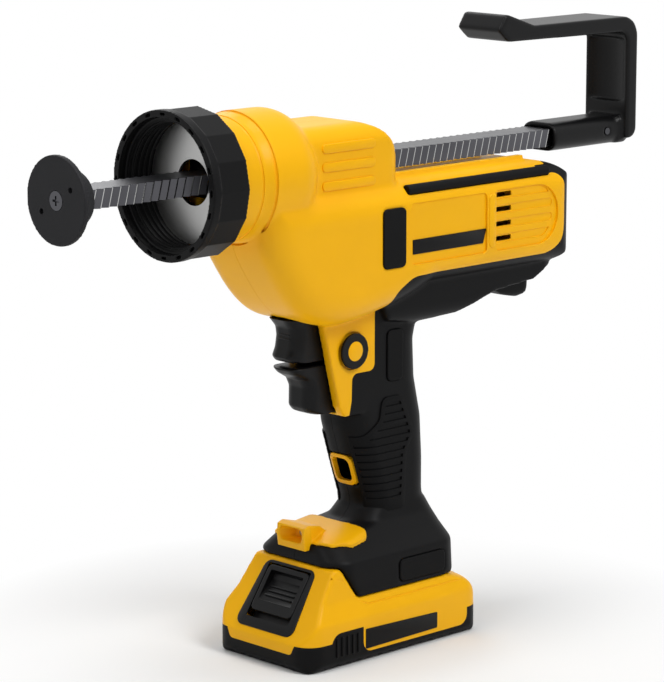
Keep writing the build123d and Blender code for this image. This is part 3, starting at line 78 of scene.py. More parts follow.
# Heights of the handle's cuts, with the front and rear of each
HANDLE_CUTS = (
    (192, -22, 46),
    (168, -20, 40),
    (146, -17, 41),
    (124, -13.5, 46),
    (100, -6, 47.5),
    (82, 0, 47.5),
    (70, 1.5, 49),
    (60, 1.5, 51),
)
# Housing screws, seen from the side
HOUSING_SCREWS = (
    (-68, 212), (-44, 204), (-2, 285), (126, 249), (126, 205), (28, 176), (24, 112), (44, 66),
)


# Colours and sizes that a user would change


class GunColours(bpy.types.PropertyGroup):
    yellow: bpy.props.StringProperty(name="Yellow", description="Shell yellow, sRGB hex", default="#FEBB06")
    black: bpy.props.StringProperty(name="Black", description="Moulded black, sRGB hex", default="#0C0C0D")
    rubber: bpy.props.StringProperty(name="Rubber", description="Overmould black, sRGB hex", default="#0A0A0B")
    steel: bpy.props.StringProperty(name="Steel", description="Zinc plate, sRGB hex", default="#56565A")
    floor: bpy.props.StringProperty(name="Floor", description="Pale floor, sRGB hex", default="#F6F6F5")


class GunSizes(bpy.types.PropertyGroup):
    shell_grid: bpy.props.FloatProperty(
        name="Shell grid", description="Grid of the moulded shells, mm", default=1.0, min=0.5, max=3.0
    )
    shell_rounds: bpy.props.IntProperty(
        name="Shell softness", description="Rounds of softening where the forms meet", default=11, min=0, max=200
    )
    panel_recess: bpy.props.FloatProperty(
        name="Panel recess", description="Depth of the side panels, mm", default=1.2, min=0.2, max=1.5
    )
    vent_count: bpy.props.IntProperty(name="Vents", description="Vent slots on a side", default=4, min=1, max=6)
    grip_grooves: bpy.props.IntProperty(
        name="Grip grooves", description="Grooves across a grip panel", default=13, min=1, max=20
    )
    grain: bpy.props.FloatProperty(
        name="Grain", description="Width of the moulded grain, mm", default=0.55, min=0.1, max=3.0
    )


def colours():
    return bpy.context.scene.gun_colours


def sizes():
    return bpy.context.scene.gun_sizes


# Materials


def linear(code):
    """An sRGB hex value as a linear colour."""
    parts = [int(code[i:i + 2], 16) / 255 for i in (1, 3, 5)]
    return [c / 12.92 if c <= 0.04045 else ((c + 0.055) / 1.055) ** 2.4 for c in parts] + [1.0]


def add_node(tree, kind, settings=None, links=None):
    """Adds a node with its settings, and links its inputs from (node, output) pairs."""
    node = tree.nodes.new(kind)
    for key, value in (settings or {}).items():
        if isinstance(key, int) or key.startswith("in:"):
            node.inputs[key if isinstance(key, int) else key[3:]].default_value = value
        else:
            setattr(node, key, value)
    for socket, (source, output) in (links or {}).items():
        tree.links.new(source.outputs[output], node.inputs[socket])
    return node


def finish_material(name, code, roughness, metallic=0.0, grain_mm=0.6, bump_mm=0.02, stretch=(1, 1, 1),
                    spread=0.08, shade=0.1, ring=False, settings=None):
    """A moulded, plated or turned surface: tone and gloss drift a little, over a fine grain in relief."""
    material = bpy.data.materials.new(name)
    material.use_nodes = True
    tree = material.node_tree
    shader = tree.nodes["Principled BSDF"]
    place = add_node(tree, "ShaderNodeTexCoord")
    grain_scale = 1 / (grain_mm * MM)
    if ring:
        # Tool marks go round the rod's axis, so the grain follows the distance from it
        centred = add_node(
            tree, "ShaderNodeMapping", {"in:Location": (0, 0, -ROD_Z * MM), "in:Scale": (0, 1, 1)},
            {"Vector": (place, "Object")},
        )
        radius = add_node(tree, "ShaderNodeVectorMath", {"operation": "LENGTH"}, {0: (centred, "Vector")})
        grain = add_node(
            tree, "ShaderNodeTexNoise",
            {"noise_dimensions": "1D", "in:Scale": grain_scale, "in:Detail": 3.0}, {"W": (radius, "Value")},
        )
    else:
        turned = add_node(tree, "ShaderNodeMapping", {"in:Scale": stretch}, {"Vector": (place, "Object")})
        grain = add_node(
            tree, "ShaderNodeTexNoise", {"in:Scale": grain_scale, "in:Detail": 3.0, "in:Roughness": 0.6},
            {"Vector": (turned, "Vector")},
        )
    drift = add_node(
        tree, "ShaderNodeTexNoise", {"in:Scale": 1 / (DRIFT * MM), "in:Detail": 2.0},
        {"Vector": (place, "Object")},
    )
    base = linear(code)
    tone = add_node(tree, "ShaderNodeValToRGB", links={"Fac": (drift, "Fac")})
    for element, position, factor in zip(tone.color_ramp.elements, (0.3, 0.7), (1 - shade, 1 + shade / 2)):
        element.position = position
        element.color = [min(1.0, c * factor) for c in base[:3]] + [1.0]
    tree.links.new(tone.outputs["Color"], shader.inputs["Base Color"])
    gloss = add_node(
        tree, "ShaderNodeMapRange",
        {"in:To Min": max(0.03, roughness - spread), "in:To Max": min(1.0, roughness + spread)},
        {"Value": (grain, "Fac")},
    )
    tree.links.new(gloss.outputs["Result"], shader.inputs["Roughness"])
    relief = add_node(
        tree, "ShaderNodeBump", {"in:Strength": 0.6, "in:Distance": bump_mm * MM}, {"Height": (grain, "Fac")}
    )
    tree.links.new(relief.outputs["Normal"], shader.inputs["Normal"])
    shader.inputs["Metallic"].default_value = metallic
    for key, value in (settings or {}).items():
        shader.inputs[key].default_value = value
    return material


def make_finishes():
    tint = colours()
    # Real grain is finer than the render can show, so it is drawn coarser
    grain = sizes().grain
    dull = {"Specular IOR Level": 0.1}
    # Moulded ABS: even yellow, satin, with the fine grain of a spark-eroded tool
    finishes["yellow_shell"] = finish_material(
        "moulded yellow ABS", tint.yellow, 0.38, grain_mm=grain, bump_mm=0.012, shade=0.03, spread=0.05,
        settings={"Specular IOR Level": 0.18},
    )
    # Glass-filled nylon: near black, dull, with a coarser grain
    finishes["black_shell"] = finish_material(
        "glass-filled black nylon", tint.black, 0.46, grain_mm=grain * 1.3, bump_mm=0.03, settings=dull
    )
    # Thermoplastic rubber: soft, dark and dull
    finishes["soft_rubber"] = finish_material(
        "overmoulded rubber", tint.rubber, 0.58, grain_mm=grain * 1.6, bump_mm=0.04, shade=0.15, settings=dull
    )
    # Acetal: dense black with a soft shine on its turned flats
    finishes["collar_plastic"] = finish_material(
        "moulded black acetal", "#0C0C0D", 0.4, grain_mm=grain, bump_mm=0.015, settings=dull
    )
    # Nylon rubbed grey by sealant and cleaning
    finishes["black_disc"] = finish_material(
        "moulded grey-black nylon", "#29292B", 0.55, grain_mm=0.8, bump_mm=0.03, settings=dull
    )
    # Zinc plate over rolled steel: grey, with drawing lines along the bar
    finishes["zinc_steel"] = finish_material(
        "zinc-plated rolled steel", tint.steel, 0.36, metallic=1.0, grain_mm=0.9, bump_mm=0.01,
        stretch=(0.06, 1, 1), shade=0.2,
    )
    # The same plate made brighter on the ridge lands: a painted highlight along the ridges
    finishes["bright_steel"] = finish_material(
        "zinc plate with painted ridge highlight", "#BEBEBD", 0.25, metallic=1.0, grain_mm=0.5, bump_mm=0.004
    )
    # Spun plate: fine rings of tool marks round the rod
    finishes["spun_steel"] = finish_material(
        "spun zinc-plated steel", "#B4B4B3", 0.34, metallic=1.0, grain_mm=0.45, bump_mm=0.006, shade=0.12,
        ring=True,
    )
    # Blackened steel: dark, with a soft metal shine
    finishes["dark_steel"] = finish_material(
        "blackened steel", "#3A3A3C", 0.4, metallic=1.0, grain_mm=0.7, bump_mm=0.01, shade=0.2
    )
    # Oil-soaked bronze: dark brown, open pores
    finishes["bronze"] = finish_material(
        "sintered bronze", "#15110D", 0.6, metallic=0.5, grain_mm=0.4, bump_mm=0.03
    )
    # Cast aluminium: pale grey, with the matt skin of the die
    finishes["gear_case"] = finish_material("die-cast aluminium", "#9A9CA0", 0.45, metallic=1.0, grain_mm=0.8)
    # Rolled steel can: bright and even
    finishes["motor_steel"] = finish_material("bright rolled steel", "#A8A8AA", 0.3, metallic=1.0, grain_mm=0.6)
    # ABS from a polished tool: black with a livelier shine than the shells
    finishes["control_black"] = finish_material(
        "moulded black ABS", "#0E0E0F", 0.34, grain_mm=grain, bump_mm=0.015,
        settings={"Specular IOR Level": 0.15},
    )
    # Inside the tool: a lacquered board, shrink-sleeved cells and a plain grey cradle
    finishes["circuit_green"] = finish_material("coated circuit board", "#1F5A36", 0.4, grain_mm=1.2)
    finishes["cell_sleeve"] = finish_material("shrink sleeve", "#2F5F8F", 0.3, grain_mm=1.5)
    finishes["cradle_plastic"] = finish_material("moulded grey polycarbonate", "#C9C9C5", 0.45, grain_mm=0.7)
    # Clear polycarbonate over the lamp: almost no colour, a warm cast from the lamp behind it
    finishes["clear_lens"] = finish_material(
        "clear polycarbonate", "#F2E3B8", 0.12, grain_mm=2.0, bump_mm=0.004, shade=0.05,
        settings={"IOR": 1.58, "Transmission Weight": 0.55},
    )


# Mesh helpers: outlines and places in mm, meshes in metres


def rounded(points, radius, steps=6):
    """An outline with its corners rounded to arcs; radius is one number or one for each corner."""
    count = len(points)
    radii = radius if isinstance(radius, (list, tuple)) else [radius] * count
    out = []
    for i in range(count):
        here = Vector(points[i])
        back = Vector(points[i - 1]) - here
        ahead = Vector(points[(i + 1) % count]) - here
        half = back.angle(ahead) / 2
        if radii[i] <= 0 or half > 1.55:
            out.append(tuple(here))
            continue
        run = min(radii[i] / tan(half), back.length * 0.499, ahead.length * 0.499)
        centre = here + (back.normalized() + ahead.normalized()).normalized() * (run * tan(half) / sin(half))
        start = here + back.normalized() * run - centre
        end = here + ahead.normalized() * run - centre
        sweep = pi - 2 * half
        for k in range(steps + 1):
            t = k / steps
            out.append(tuple(centre + (start * sin((1 - t) * sweep) + end * sin(t * sweep)) / sin(sweep)))
    return out


def box_outline(a0, a1, b0, b1):
    return [(a0, b0), (a1, b0), (a1, b1), (a0, b1)]


def circle_outline(a, b, radius, steps=6):
    return rounded(box_outline(a - radius, a + radius, b - radius, b + radius), radius, steps)


def mesh_from(bm, name):
    """A plain mesh with its faces turned outwards."""
    bmesh.ops.recalc_face_normals(bm, faces=bm.faces[:])
    mesh = bpy.data.meshes.new(name)
    bm.to_mesh(mesh)
    bm.free()
    return mesh


def lofted(rings):
    """A closed solid through rings of points with as many points each."""
    bm = bmesh.new()
    loops = [[bm.verts.new(Vector(point) * MM) for point in ring] for ring in rings]
    bm.faces.new(loops[0])
    bm.faces.new(loops[-1])
    for lower, upper in zip(loops, loops[1:]):
        for i in range(len(lower)):
            j = (i + 1) % len(lower)
            bm.faces.new((lower[i], lower[j], upper[j], upper[i]))
    return mesh_from(bm, "loft")


def slab(points, low, high, axis="Y"):
    """A closed prism: an outline across the axis, carried from low to high along it."""
    order = {
        "X": lambda a, b, level: (level, a, b),
        "Y": lambda a, b, level: (a, level, b),
        "Z": lambda a, b, level: (a, b, level),
    }[axis]
    return lofted([[order(a, b, level) for a, b in points] for level in (low, high)])


def block(x0, x1, y0, y1, z0, z1):
    return slab(box_outline(x0, x1, z0, z1), y0, y1)


def flipped(mesh):
    """The same mesh on the other side of the gun."""
    bm = bmesh.new()
    bm.from_mesh(mesh)
    bmesh.ops.scale(bm, vec=(1, -1, 1), verts=bm.verts[:])
    return mesh_from(bm, "flipped")


def paired(*tools):
    """Tools for the left side, and the same for the right."""
    return [*tools, *map(flipped, tools)]


def both_sides(mesh):
    return ("left", mesh), ("right", flipped(mesh))


def moved(mesh, matrix):
    out = mesh.copy()
    out.transform(matrix)
    return out


def frame_at(origin, along, out):
    """A place for a shape drawn along X and standing up in Z."""
    x_axis = Vector(along).normalized()
    z_axis = Vector(out).normalized()
    y_axis = z_axis.cross(x_axis)
    matrix = Matrix((x_axis, y_axis, z_axis)).transposed().to_4x4()
    matrix.translation = Vector(origin) * MM
    return matrix


def node_copy(name):
    """A CAD node's mesh with its corners merged."""
    bm = bmesh.new()
    bm.from_mesh(frame["nodes"][name].data)
    bmesh.ops.remove_doubles(bm, verts=bm.verts[:], dist=0.002 * MM)
    mesh = bpy.data.meshes.new("copy")
    bm.to_mesh(mesh)
    bm.free()
    return mesh


def scratch(mesh):
    piece = bpy.data.objects.new("scratch", mesh)
    bpy.context.scene.collection.objects.link(piece)
    return piece


def evaluated(piece):
    """The piece's mesh with its modifiers applied; the scratch object is removed."""
    bpy.context.view_layer.update()
    graph = bpy.context.evaluated_depsgraph_get()
    mesh = bpy.data.meshes.new_from_object(piece.evaluated_get(graph))
    bpy.data.objects.remove(piece)
    return mesh


def combined(mesh, tools, operation):
    """The mesh joined with, cut by or kept within closed tools, one after another."""
    for tool in tools:
        piece = scratch(mesh)
        other = scratch(tool)
        step = piece.modifiers.new("step", "BOOLEAN")
        step.operation = operation
        step.solver = "MANIFOLD"
        step.object = other
        mesh = evaluated(piece)
        bpy.data.objects.remove(other)
    return mesh


def cut(mesh, *tools):
    return combined(mesh, tools, "DIFFERENCE")


def kept(mesh, *tools):
    return combined(mesh, tools, "INTERSECT")


def added(mesh, *tools):
    return combined(mesh, tools, "UNION")


def remeshed(mesh, grid_mm):
    piece = scratch(mesh)
    grid = piece.modifiers.new("grid", "REMESH")
    grid.mode = "VOXEL"
    grid.voxel_size = grid_mm * MM
    return evaluated(piece)


def points_of(mesh):
    points = np.empty(len(mesh.vertices) * 3)
    mesh.vertices.foreach_get("co", points)
    return points.reshape(-1, 3) / MM


def softened(mesh, rounds, crisp=()):
    """The mesh smoothed all over, apart from boxes on both sides that stay crisp."""
    piece = scratch(mesh)
    soft = piece.modifiers.new("soft", "SMOOTH")
    soft.factor = 0.5
    soft.iterations = rounds
    if crisp:
        points = points_of(mesh)
        points[:, 1] = np.abs(points[:, 1])
        free = np.ones(len(points), bool)
        for low, high in crisp:
            free &= ~((points >= low) & (points <= high)).all(axis=1)
        group = piece.vertex_groups.new(name="free")
        group.add(np.nonzero(free)[0].tolist(), 1.0, "REPLACE")
        soft.vertex_group = group.name
    return evaluated(piece)


def bevelled(mesh, width_mm, segments=2):
    piece = scratch(mesh)
    edge = piece.modifiers.new("edge", "BEVEL")
    edge.width = width_mm * MM
    edge.segments = segments
    edge.limit_method = "ANGLE"
    edge.angle_limit = radians(40)
    return evaluated(piece)


def main_island(mesh):
    """The largest joined part of a mesh, without the chips that a cut leaves."""
    bm = bmesh.new()
    bm.from_mesh(mesh)
    waiting = set(bm.verts)
    best = set()
    while waiting:
        island = {waiting.pop()}
        front = list(island)
        while front:
            vertex = front.pop()
            for edge in vertex.link_edges:
                other = edge.other_vert(vertex)
                if other in waiting:
                    waiting.discard(other)
                    island.add(other)
                    front.append(other)
        if len(island) > len(best):
            best = island
    bmesh.ops.delete(bm, geom=[v for v in bm.verts if v not in best], context="VERTS")
    out = bpy.data.meshes.new("island")
    bm.to_mesh(out)
    bm.free()
    return out


def tube(points, radius, closed=False):
    """A round bar along a line of points, made as a bevelled curve."""
    curve = bpy.data.curves.new("tube", "CURVE")
    curve.dimensions = "3D"
    curve.bevel_depth = radius * MM
    curve.bevel_resolution = 2
    curve.use_fill_caps = not closed
    line = curve.splines.new("POLY")
    line.points.add(len(points) - 1)
    line.use_cyclic_u = closed
    for place, point in zip(line.points, points):
        place.co = (*(Vector(point) * MM), 1.0)
    piece = bpy.data.objects.new("tube", curve)
    bpy.context.scene.collection.objects.link(piece)
    mesh = evaluated(piece)
    bm = bmesh.new()
    bm.from_mesh(mesh)
    bmesh.ops.remove_doubles(bm, verts=bm.verts[:], dist=0.001 * MM)
    return mesh_from(bm, "tube")


def hoop(x, radius, bar_radius, steps=96):
    """A round bar bent to a ring about the rod's axis."""
    turns = [2 * pi * k / steps for k in range(steps)]
    ring = [(x, radius * cos(turn), ROD_Z + radius * sin(turn)) for turn in turns]
    return tube(ring, bar_radius, closed=True)


def piece_from(mesh, name, slot, body, nodes=(), smooth_deg=35, finish=None):
    """A finished piece: a mesh with its finish, riding on a body and standing for CAD nodes."""
    mesh.name = name
    piece = bpy.data.objects.new(name, mesh)
    bpy.context.scene.collection.objects.link(piece)
    mesh.materials.clear()
    mesh.materials.append(finishes[finish or slot])
    mesh.polygons.foreach_set("material_index", [0] * len(mesh.polygons))
    mesh.polygons.foreach_set("use_smooth", [True] * len(mesh.polygons))
    mesh.set_sharp_from_angle(angle=radians(smooth_deg))
    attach(piece, body)
    if nodes:
        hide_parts(*nodes)
    return piece


def skin(node, slot, body, grid_mm, rounds, smooth_deg=60):
    """A moulded copy of a CAD node, rounded along every edge."""
    mesh = softened(remeshed(node_copy(node), grid_mm), rounds)
    return piece_from(mesh, node + "_skin", slot, body, (node,), smooth_deg)


# Geometry Nodes for what repeats


def new_tree(name, inputs):
    tree = bpy.data.node_groups.new(name, "GeometryNodeTree")
    tree.interface.new_socket("Geometry", in_out="OUTPUT", socket_type="NodeSocketGeometry")
    for label, kind in inputs:
        tree.interface.new_socket(label, in_out="INPUT", socket_type="NodeSocket" + kind)
    return tree, add_node(tree, "NodeGroupInput"), add_node(tree, "NodeGroupOutput")


def end_tree(tree, given, out, points, shape, output):
    """Copies a shape to points, makes the copies real and gives them their finish."""
    copies = add_node(
        tree, "GeometryNodeInstanceOnPoints", links={"Points": (points, "Mesh"), "Instance": (shape, output)}
    )
    real = add_node(tree, "GeometryNodeRealizeInstances", links={"Geometry": (copies, "Instances")})
    coated = add_node(
        tree, "GeometryNodeSetMaterial", links={"Geometry": (real, "Geometry"), "Material": (given, "Finish")}
    )
    tree.links.new(coated.outputs["Geometry"], out.inputs["Geometry"])
    return tree


def bar_row_tree():
    """Rounded bars in a row: each lies along X and stands up in Z, and the row goes on by a step."""
    tree, given, out = new_tree("row of bars", (
        ("Length", "Float"), ("Width", "Float"), ("Height", "Float"), ("Corner", "Float"),
        ("Count", "Int"), ("Step", "Vector"), ("Finish", "Material"),
    ))
    outline = add_node(
        tree, "GeometryNodeCurvePrimitiveQuadrilateral",
        links={"Width": (given, "Length"), "Height": (given, "Width")},
    )
    corners = add_node(
        tree, "GeometryNodeFilletCurve", {"mode": "POLY", "in:Count": 5, "in:Limit Radius": True},
        {"Curve": (outline, "Curve"), "Radius": (given, "Corner")},
    )
    base = add_node(tree, "GeometryNodeFillCurve", {"mode": "NGONS"}, {"Curve": (corners, "Curve")})
    raised = add_node(
        tree, "GeometryNodeExtrudeMesh", {"in:Individual": False},
        {"Mesh": (base, "Mesh"), "Offset Scale": (given, "Height")},
    )
    under = add_node(tree, "GeometryNodeFlipFaces", links={"Mesh": (base, "Mesh")})
    both = add_node(tree, "GeometryNodeJoinGeometry", links={"Geometry": (raised, "Mesh")})
    tree.links.new(under.outputs["Mesh"], both.inputs["Geometry"])
    closed = add_node(
        tree, "GeometryNodeMergeByDistance", {"in:Distance": 0.001 * MM}, {"Geometry": (both, "Geometry")}
    )
    row = add_node(
        tree, "GeometryNodeMeshLine", {"mode": "OFFSET"}, {"Count": (given, "Count"), "Offset": (given, "Step")}
    )
    return end_tree(tree, given, out, row, closed, "Geometry")


def ridge_ring_tree():
    """Upright round ridges in a ring about Z."""
    tree, given, out = new_tree("ring of ridges", (
        ("Ring", "Float"), ("Ridge", "Float"), ("Height", "Float"), ("Count", "Int"), ("Finish", "Material"),
    ))
    ring = add_node(
        tree, "GeometryNodeMeshCircle", links={"Vertices": (given, "Count"), "Radius": (given, "Ring")}
    )
    ridge = add_node(
        tree, "GeometryNodeMeshCylinder", {"in:Vertices": 10},
        {"Radius": (given, "Ridge"), "Depth": (given, "Height")},
    )
    return end_tree(tree, given, out, ring, ridge, "Mesh")


def grown(tree, settings):
    """The plain mesh that a tree gives with its inputs set; lengths are in metres here."""
    piece = scratch(bpy.data.meshes.new("seed"))
    maker = piece.modifiers.new("maker", "NODES")
    maker.node_group = tree
    for item in tree.interface.items_tree:
        if item.in_out == "INPUT" and item.name in settings:
            maker[item.identifier] = settings[item.name]
    bm = bmesh.new()
    bm.from_mesh(evaluated(piece))
    return mesh_from(bm, "grown")


def bar_row(place, length, width, height, count=1, step=(0, 0), corner=None, edge=0.0, finish="yellow_shell"):
    """A row of rounded bars at a place; a step is along and across the bars."""
    mesh = grown(trees["bars"], {
        "Length": length * MM,
        "Width": width * MM,
        "Height": height * MM,
        "Corner": (0.45 * width if corner is None else corner) * MM,
        "Count": count,
        "Step": (step[0] * MM, step[1] * MM, 0.0),
        "Finish": finishes[finish],
    })
    if edge:
        mesh = bevelled(mesh, edge)
    return moved(mesh, place)


class Make(bpy.types.Operator):
    """A step in dressing the gun"""
    bl_options = {"REGISTER"}


class GUN_OT_solids(Make):
    """Finishes on the solids that show as they are"""
    bl_idname = "gun.solids"
    bl_label = "Solid finishes"

    def execute(self, context):
        trees["bars"] = bar_row_tree()
        trees["ridges"] = ridge_ring_tree()
        for entry in frame["record"]["subparts"]:
            node = frame["nodes"][entry["node"]]
            node.data.materials.clear()
            node.data.materials.append(finishes[entry["material_slot"]])
        frame["nodes"]["front_plate"].data.materials[0] = finishes["spun_steel"]
        return {"FINISHED"}


# Housing


# The edge between yellow and black, seen from the side
YELLOW_EDGE = rounded(
    [
        (-REACH, REACH), (128, REACH), (128, 256.8), (119.5, 256.8), (119.5, 252.4), (137, 252.4), (137, 207),
        (16, 207), (4.5, 200), (2.5, 190), (2.5, 155), (-14.5, 155), (-15, 140), (-17, 131), (-REACH, 131),
    ],
    [0, 0, 1, 0.5, 0.5, 16.5, 16, 16, 8, 10, 4, 4, 10, 2, 0],
    8,
)
# Where the shells stay crisp: low and high corners, for both sides
CRISP_SHELL = [
    ((-140, 0, 200), (-80, 60, 320)),  # neck
    ((-10.5, 30, 211), (11.5, 60, 248.5)),  # seat of the side bumper
    ((11, 24, 249), (129, 36, 259.5)),  # seat of the shoulder strip
    ((10, 14, 145), (26, 19, 178)),  # seat of the thumb pad
    ((3.5, 30, 35), (43.5, 40, 53)),  # seat of the foot pad
    ((-15, 0, 86.5), (14, 10.5, 109.5)),  # pocket
    ((126, 0, 206), (150, 13, 220)),  # slot of the dial
    ((-60, 0, 30), (80, 40, 44)),  # rails under the foot
    ((-26, 13, 156), (-3, 20, 180)),  # seat of the lock button
    ((10, 0, 255), (131, 19.5, 263)),  # channel under the rod
] + [((x - 5, 8, z - 5), (x + 5, 60, z + 5)) for x, z in HOUSING_SCREWS]

PLATE_PANEL = rounded(box_outline(13.5, 73.0, 213.5, 247.0), 2.5)
VENT_PANEL = rounded(box_outline(80.5, 131.0, 213.5, 247.5), [2.0, 16.5, 16.5, 2.0], 12)
FLUTE_PANEL = rounded(box_outline(79.0, 127.5, 216.5, 247.5), [1.0, 14.0, 14.0, 1.0], 12)
VENT_LOW_Z = 220.0
VENT_STEP = 8.2
BUTTON_X = -14.5
BUTTON_Z = 168.0
BUTTON_RECESS = 1.7
# Seat of a grip panel, seen from the side
GRIP_SEAT = [
    (5.7, 141.3), (26.3, 143.3), (31.3, 130), (33.3, 112), (33.8, 96),
    (33.3, 79.7), (12.7, 79.7), (9.7, 100), (3.7, 122),
]
NECK_GROOVES = (-94.0, -86.0)
# The neck's outer face is further than this from the rod's axis, and its bore is nearer
NECK_WALL = 28.0


def body_form():
    """The four shells as one closed form, softened where the neck, box, body and handle meet."""
    others = [node_copy(name) for name in ("right_housing", "left_grip", "right_grip")]
    whole = added(node_copy("left_housing"), *others)
    # The grip panels wrap round the handle and lie on it, so their flat seats are filled
    seat = slab(GRIP_SEAT, -HANDLE_SIDE, -HANDLE_SIDE + 2)
    grid = remeshed(added(whole, *paired(seat)), sizes().shell_grid)
    return softened(softened(grid, sizes().shell_rounds, CRISP_SHELL), rounds=2)


def tail_corner():
    """What is taken off the tail to give its top a wide round."""
    low_round, top_round = 16, 25
    tail = rounded(box_outline(-60, TAIL_REAR_X, 200, BODY_TOP_Z), [0, low_round, top_round, 0], 16)
    return cut(block(118, 170, -60, 60, 222, 270), slab(tail, -REACH, REACH))


def neck_grooves(form):
    """Two shallow grooves round the neck, behind the collar."""
    points = points_of(form)
    radii = np.hypot(points[:, 1], points[:, 2] - ROD_Z)
    tools = []
    for x in NECK_GROOVES:
        near = (np.abs(points[:, 0] - x) < 1) & (points[:, 2] > ROD_Z) & (radii > NECK_WALL)
        tools.append(hoop(x, float(np.median(radii[near])) + 0.3, bar_radius=1.1))
    return tools


def side_relief():
    """Tools for the left side: what is cut out of the shell, and what stands up from it."""
    floor = BODY_SIDE - sizes().panel_recess
    count = sizes().vent_count
    flutes = bar_row(
        frame_at((103, -floor + 0.6, VENT_LOW_Z), ALONG, LEFT),
        length=48, width=4.8, height=8, count=count, step=(0, VENT_STEP), edge=0.4,
    )
    vents = bar_row(
        frame_at((88, -floor + 4, VENT_LOW_Z), ALONG, LEFT),
        length=12, width=2.8, height=12, count=count, step=(0, VENT_STEP), corner=0.5,
    )
    button_seat = circle_outline(BUTTON_X, BUTTON_Z, 10.6, 16)
    cuts = [
        slab(button_seat, -REACH, -HANDLE_SIDE + BUTTON_RECESS),
        slab(PLATE_PANEL, -REACH, -floor),
        slab(VENT_PANEL, -REACH, -floor),
        kept(flutes, slab(FLUTE_PANEL, -REACH, 0)),
        vents,
    ]
    bars = bar_row(
        frame_at((-26.5, -BOX_SIDE + 0.8, 261.5), ALONG, LEFT),
        length=39, width=5, height=1.7, count=3, step=(0, 10), edge=0.5,
    )
    post = bar_row(
        frame_at((77, -BODY_SIDE + 1.5, 231), UP, LEFT), length=30, width=5.5, height=2.1, edge=0.6
    )
    return cuts, [bars, post]


class GUN_OT_shells(Make):
    """Yellow and black housing halves with their side panels, bars and vents"""
    bl_idname = "gun.shells"
    bl_label = "Housing shells"

    def execute(self, context):
        cuts, bars = side_relief()
        form = cut(body_form(), tail_corner())
        form = cut(form, *neck_grooves(form), *paired(*cuts))
        form = added(form, *paired(*bars))
        zone = slab(YELLOW_EDGE, -REACH, REACH)
        for side, low, high in (("left", -REACH, -SEAM_GAP), ("right", SEAM_GAP, REACH)):
            half = kept(form, block(-REACH, REACH, low, high, -REACH, REACH))
            yellow = main_island(kept(half, zone))
            black = main_island(cut(half, zone))
            piece_from(yellow, side + "_housing_skin", "yellow_shell", "housing", (side + "_housing",))
            piece_from(black, side + "_grip_skin", "black_shell", "housing", (side + "_grip",))
        return {"FINISHED"}


class GUN_OT_plates(Make):
    """Bare black bars where the side panels have their plates"""
    bl_idname = "gun.plates"
    bl_label = "Side plates"

    def execute(self, context):
        floor = BODY_SIDE - sizes().panel_recess
        bar = rounded([(15.5, 219), (70.5, 219), (73, 227), (15.5, 227)], 0.5)
        plate = bevelled(slab(bar, -floor - 0.5, -floor + 0.4), 0.15)
        for side, mesh in both_sides(plate):
            piece_from(mesh, side + "_side_plate", "control_black", "housing")
        return {"FINISHED"}


# Collar, rod and hook


class GUN_OT_collar(Make):
    """Collar ring round the nose"""
    bl_idname = "gun.collar"
    bl_label = "Collar"

    def execute(self, context):
        bore, ridge_radius = 33.2, 0.9
        ring = softened(remeshed(node_copy("collar_ring"), grid_mm=0.5), rounds=2)
        ridges = [hoop(x, bore, ridge_radius) for x in (-126, -122.6, -119.2, -115.8)]
        ring = added(ring, *ridges)
        piece_from(ring, "collar_ring_skin", "collar_plastic", "collar", ("collar_ring",), smooth_deg=30)
        return {"FINISHED"}


class GUN_OT_rod(Make):
    """Rod with a painted highlight on its ridges"""
    bl_idname = "gun.rod"
    bl_label = "Rod"

    def execute(self, context):
        ridge_y = 10.3
        rod = piece_from(node_copy("rod"), "rod_skin", "zinc_steel", "rod", ("rod",), smooth_deg=20)
        # The ridge lands get a brighter plate: a painted highlight along the ridges
        rod.data.materials.append(finishes["bright_steel"])
        for face in rod.data.polygons:
            face.material_index = int(abs(face.center.y) > ridge_y * MM)
        return {"FINISHED"}


class GUN_OT_disc(Make):
    """Plunger disc with its two key holes"""
    bl_idname = "gun.disc"
    bl_label = "Plunger disc"

    def execute(self, context):
        key_y, key_z, key_radius, key_floor_x = 11.5, 6.5, 1.6, -202.2
        holes = [
            slab(circle_outline(side * key_y, ROD_Z - side * key_z, key_radius), -REACH, key_floor_x, "X")
            for side in (-1, 1)
        ]
        disc = cut(softened(remeshed(node_copy("plunger_disc"), grid_mm=0.5), rounds=3), *holes)
        piece_from(disc, "plunger_disc_skin", "black_disc", "rod", ("plunger_disc",), smooth_deg=50)
        return {"FINISHED"}


class GUN_OT_hook(Make):
    """Pull hook with its hollowed upright"""
    bl_idname = "gun.hook"
    bl_label = "Pull hook"

    def execute(self, context):
        # The front face of the upright is scooped from side to side
        face_x, scoop_radius, scoop_depth, half_width = 209.0, 32.0, 3.6, 14.0
        scoop = circle_outline(face_x - scoop_radius + scoop_depth, 0, scoop_radius, 16)
        scoop_low_z, scoop_high_z = 284, 321
        scoop = slab(scoop, scoop_low_z, scoop_high_z, "Z")
        scoop = kept(scoop, block(200, 214, -half_width, half_width, 270, 330))
        # The sleeve round the rod is an oval tube up to the upright
        sleeve_y, sleeve_z, sleeve_round = 13.2, 8.2, 7.4
        oval = rounded(box_outline(-sleeve_y, sleeve_y, ROD_Z - sleeve_z, ROD_Z + sleeve_z), sleeve_round, 8)
        oval = slab(oval, 100, 230, "X")
        corners = cut(block(150, 206, -16, 16, ROD_Z - 12, ROD_Z + 9), oval)
        hook = cut(node_copy("pull_hook"), scoop, corners)
        hook = softened(remeshed(hook, grid_mm=0.8), rounds=14)
        piece_from(
            hook, "pull_hook_skin", "black_shell", "rod", ("pull_hook",), smooth_deg=70, finish="control_black"
        )
        return {"FINISHED"}


# Controls


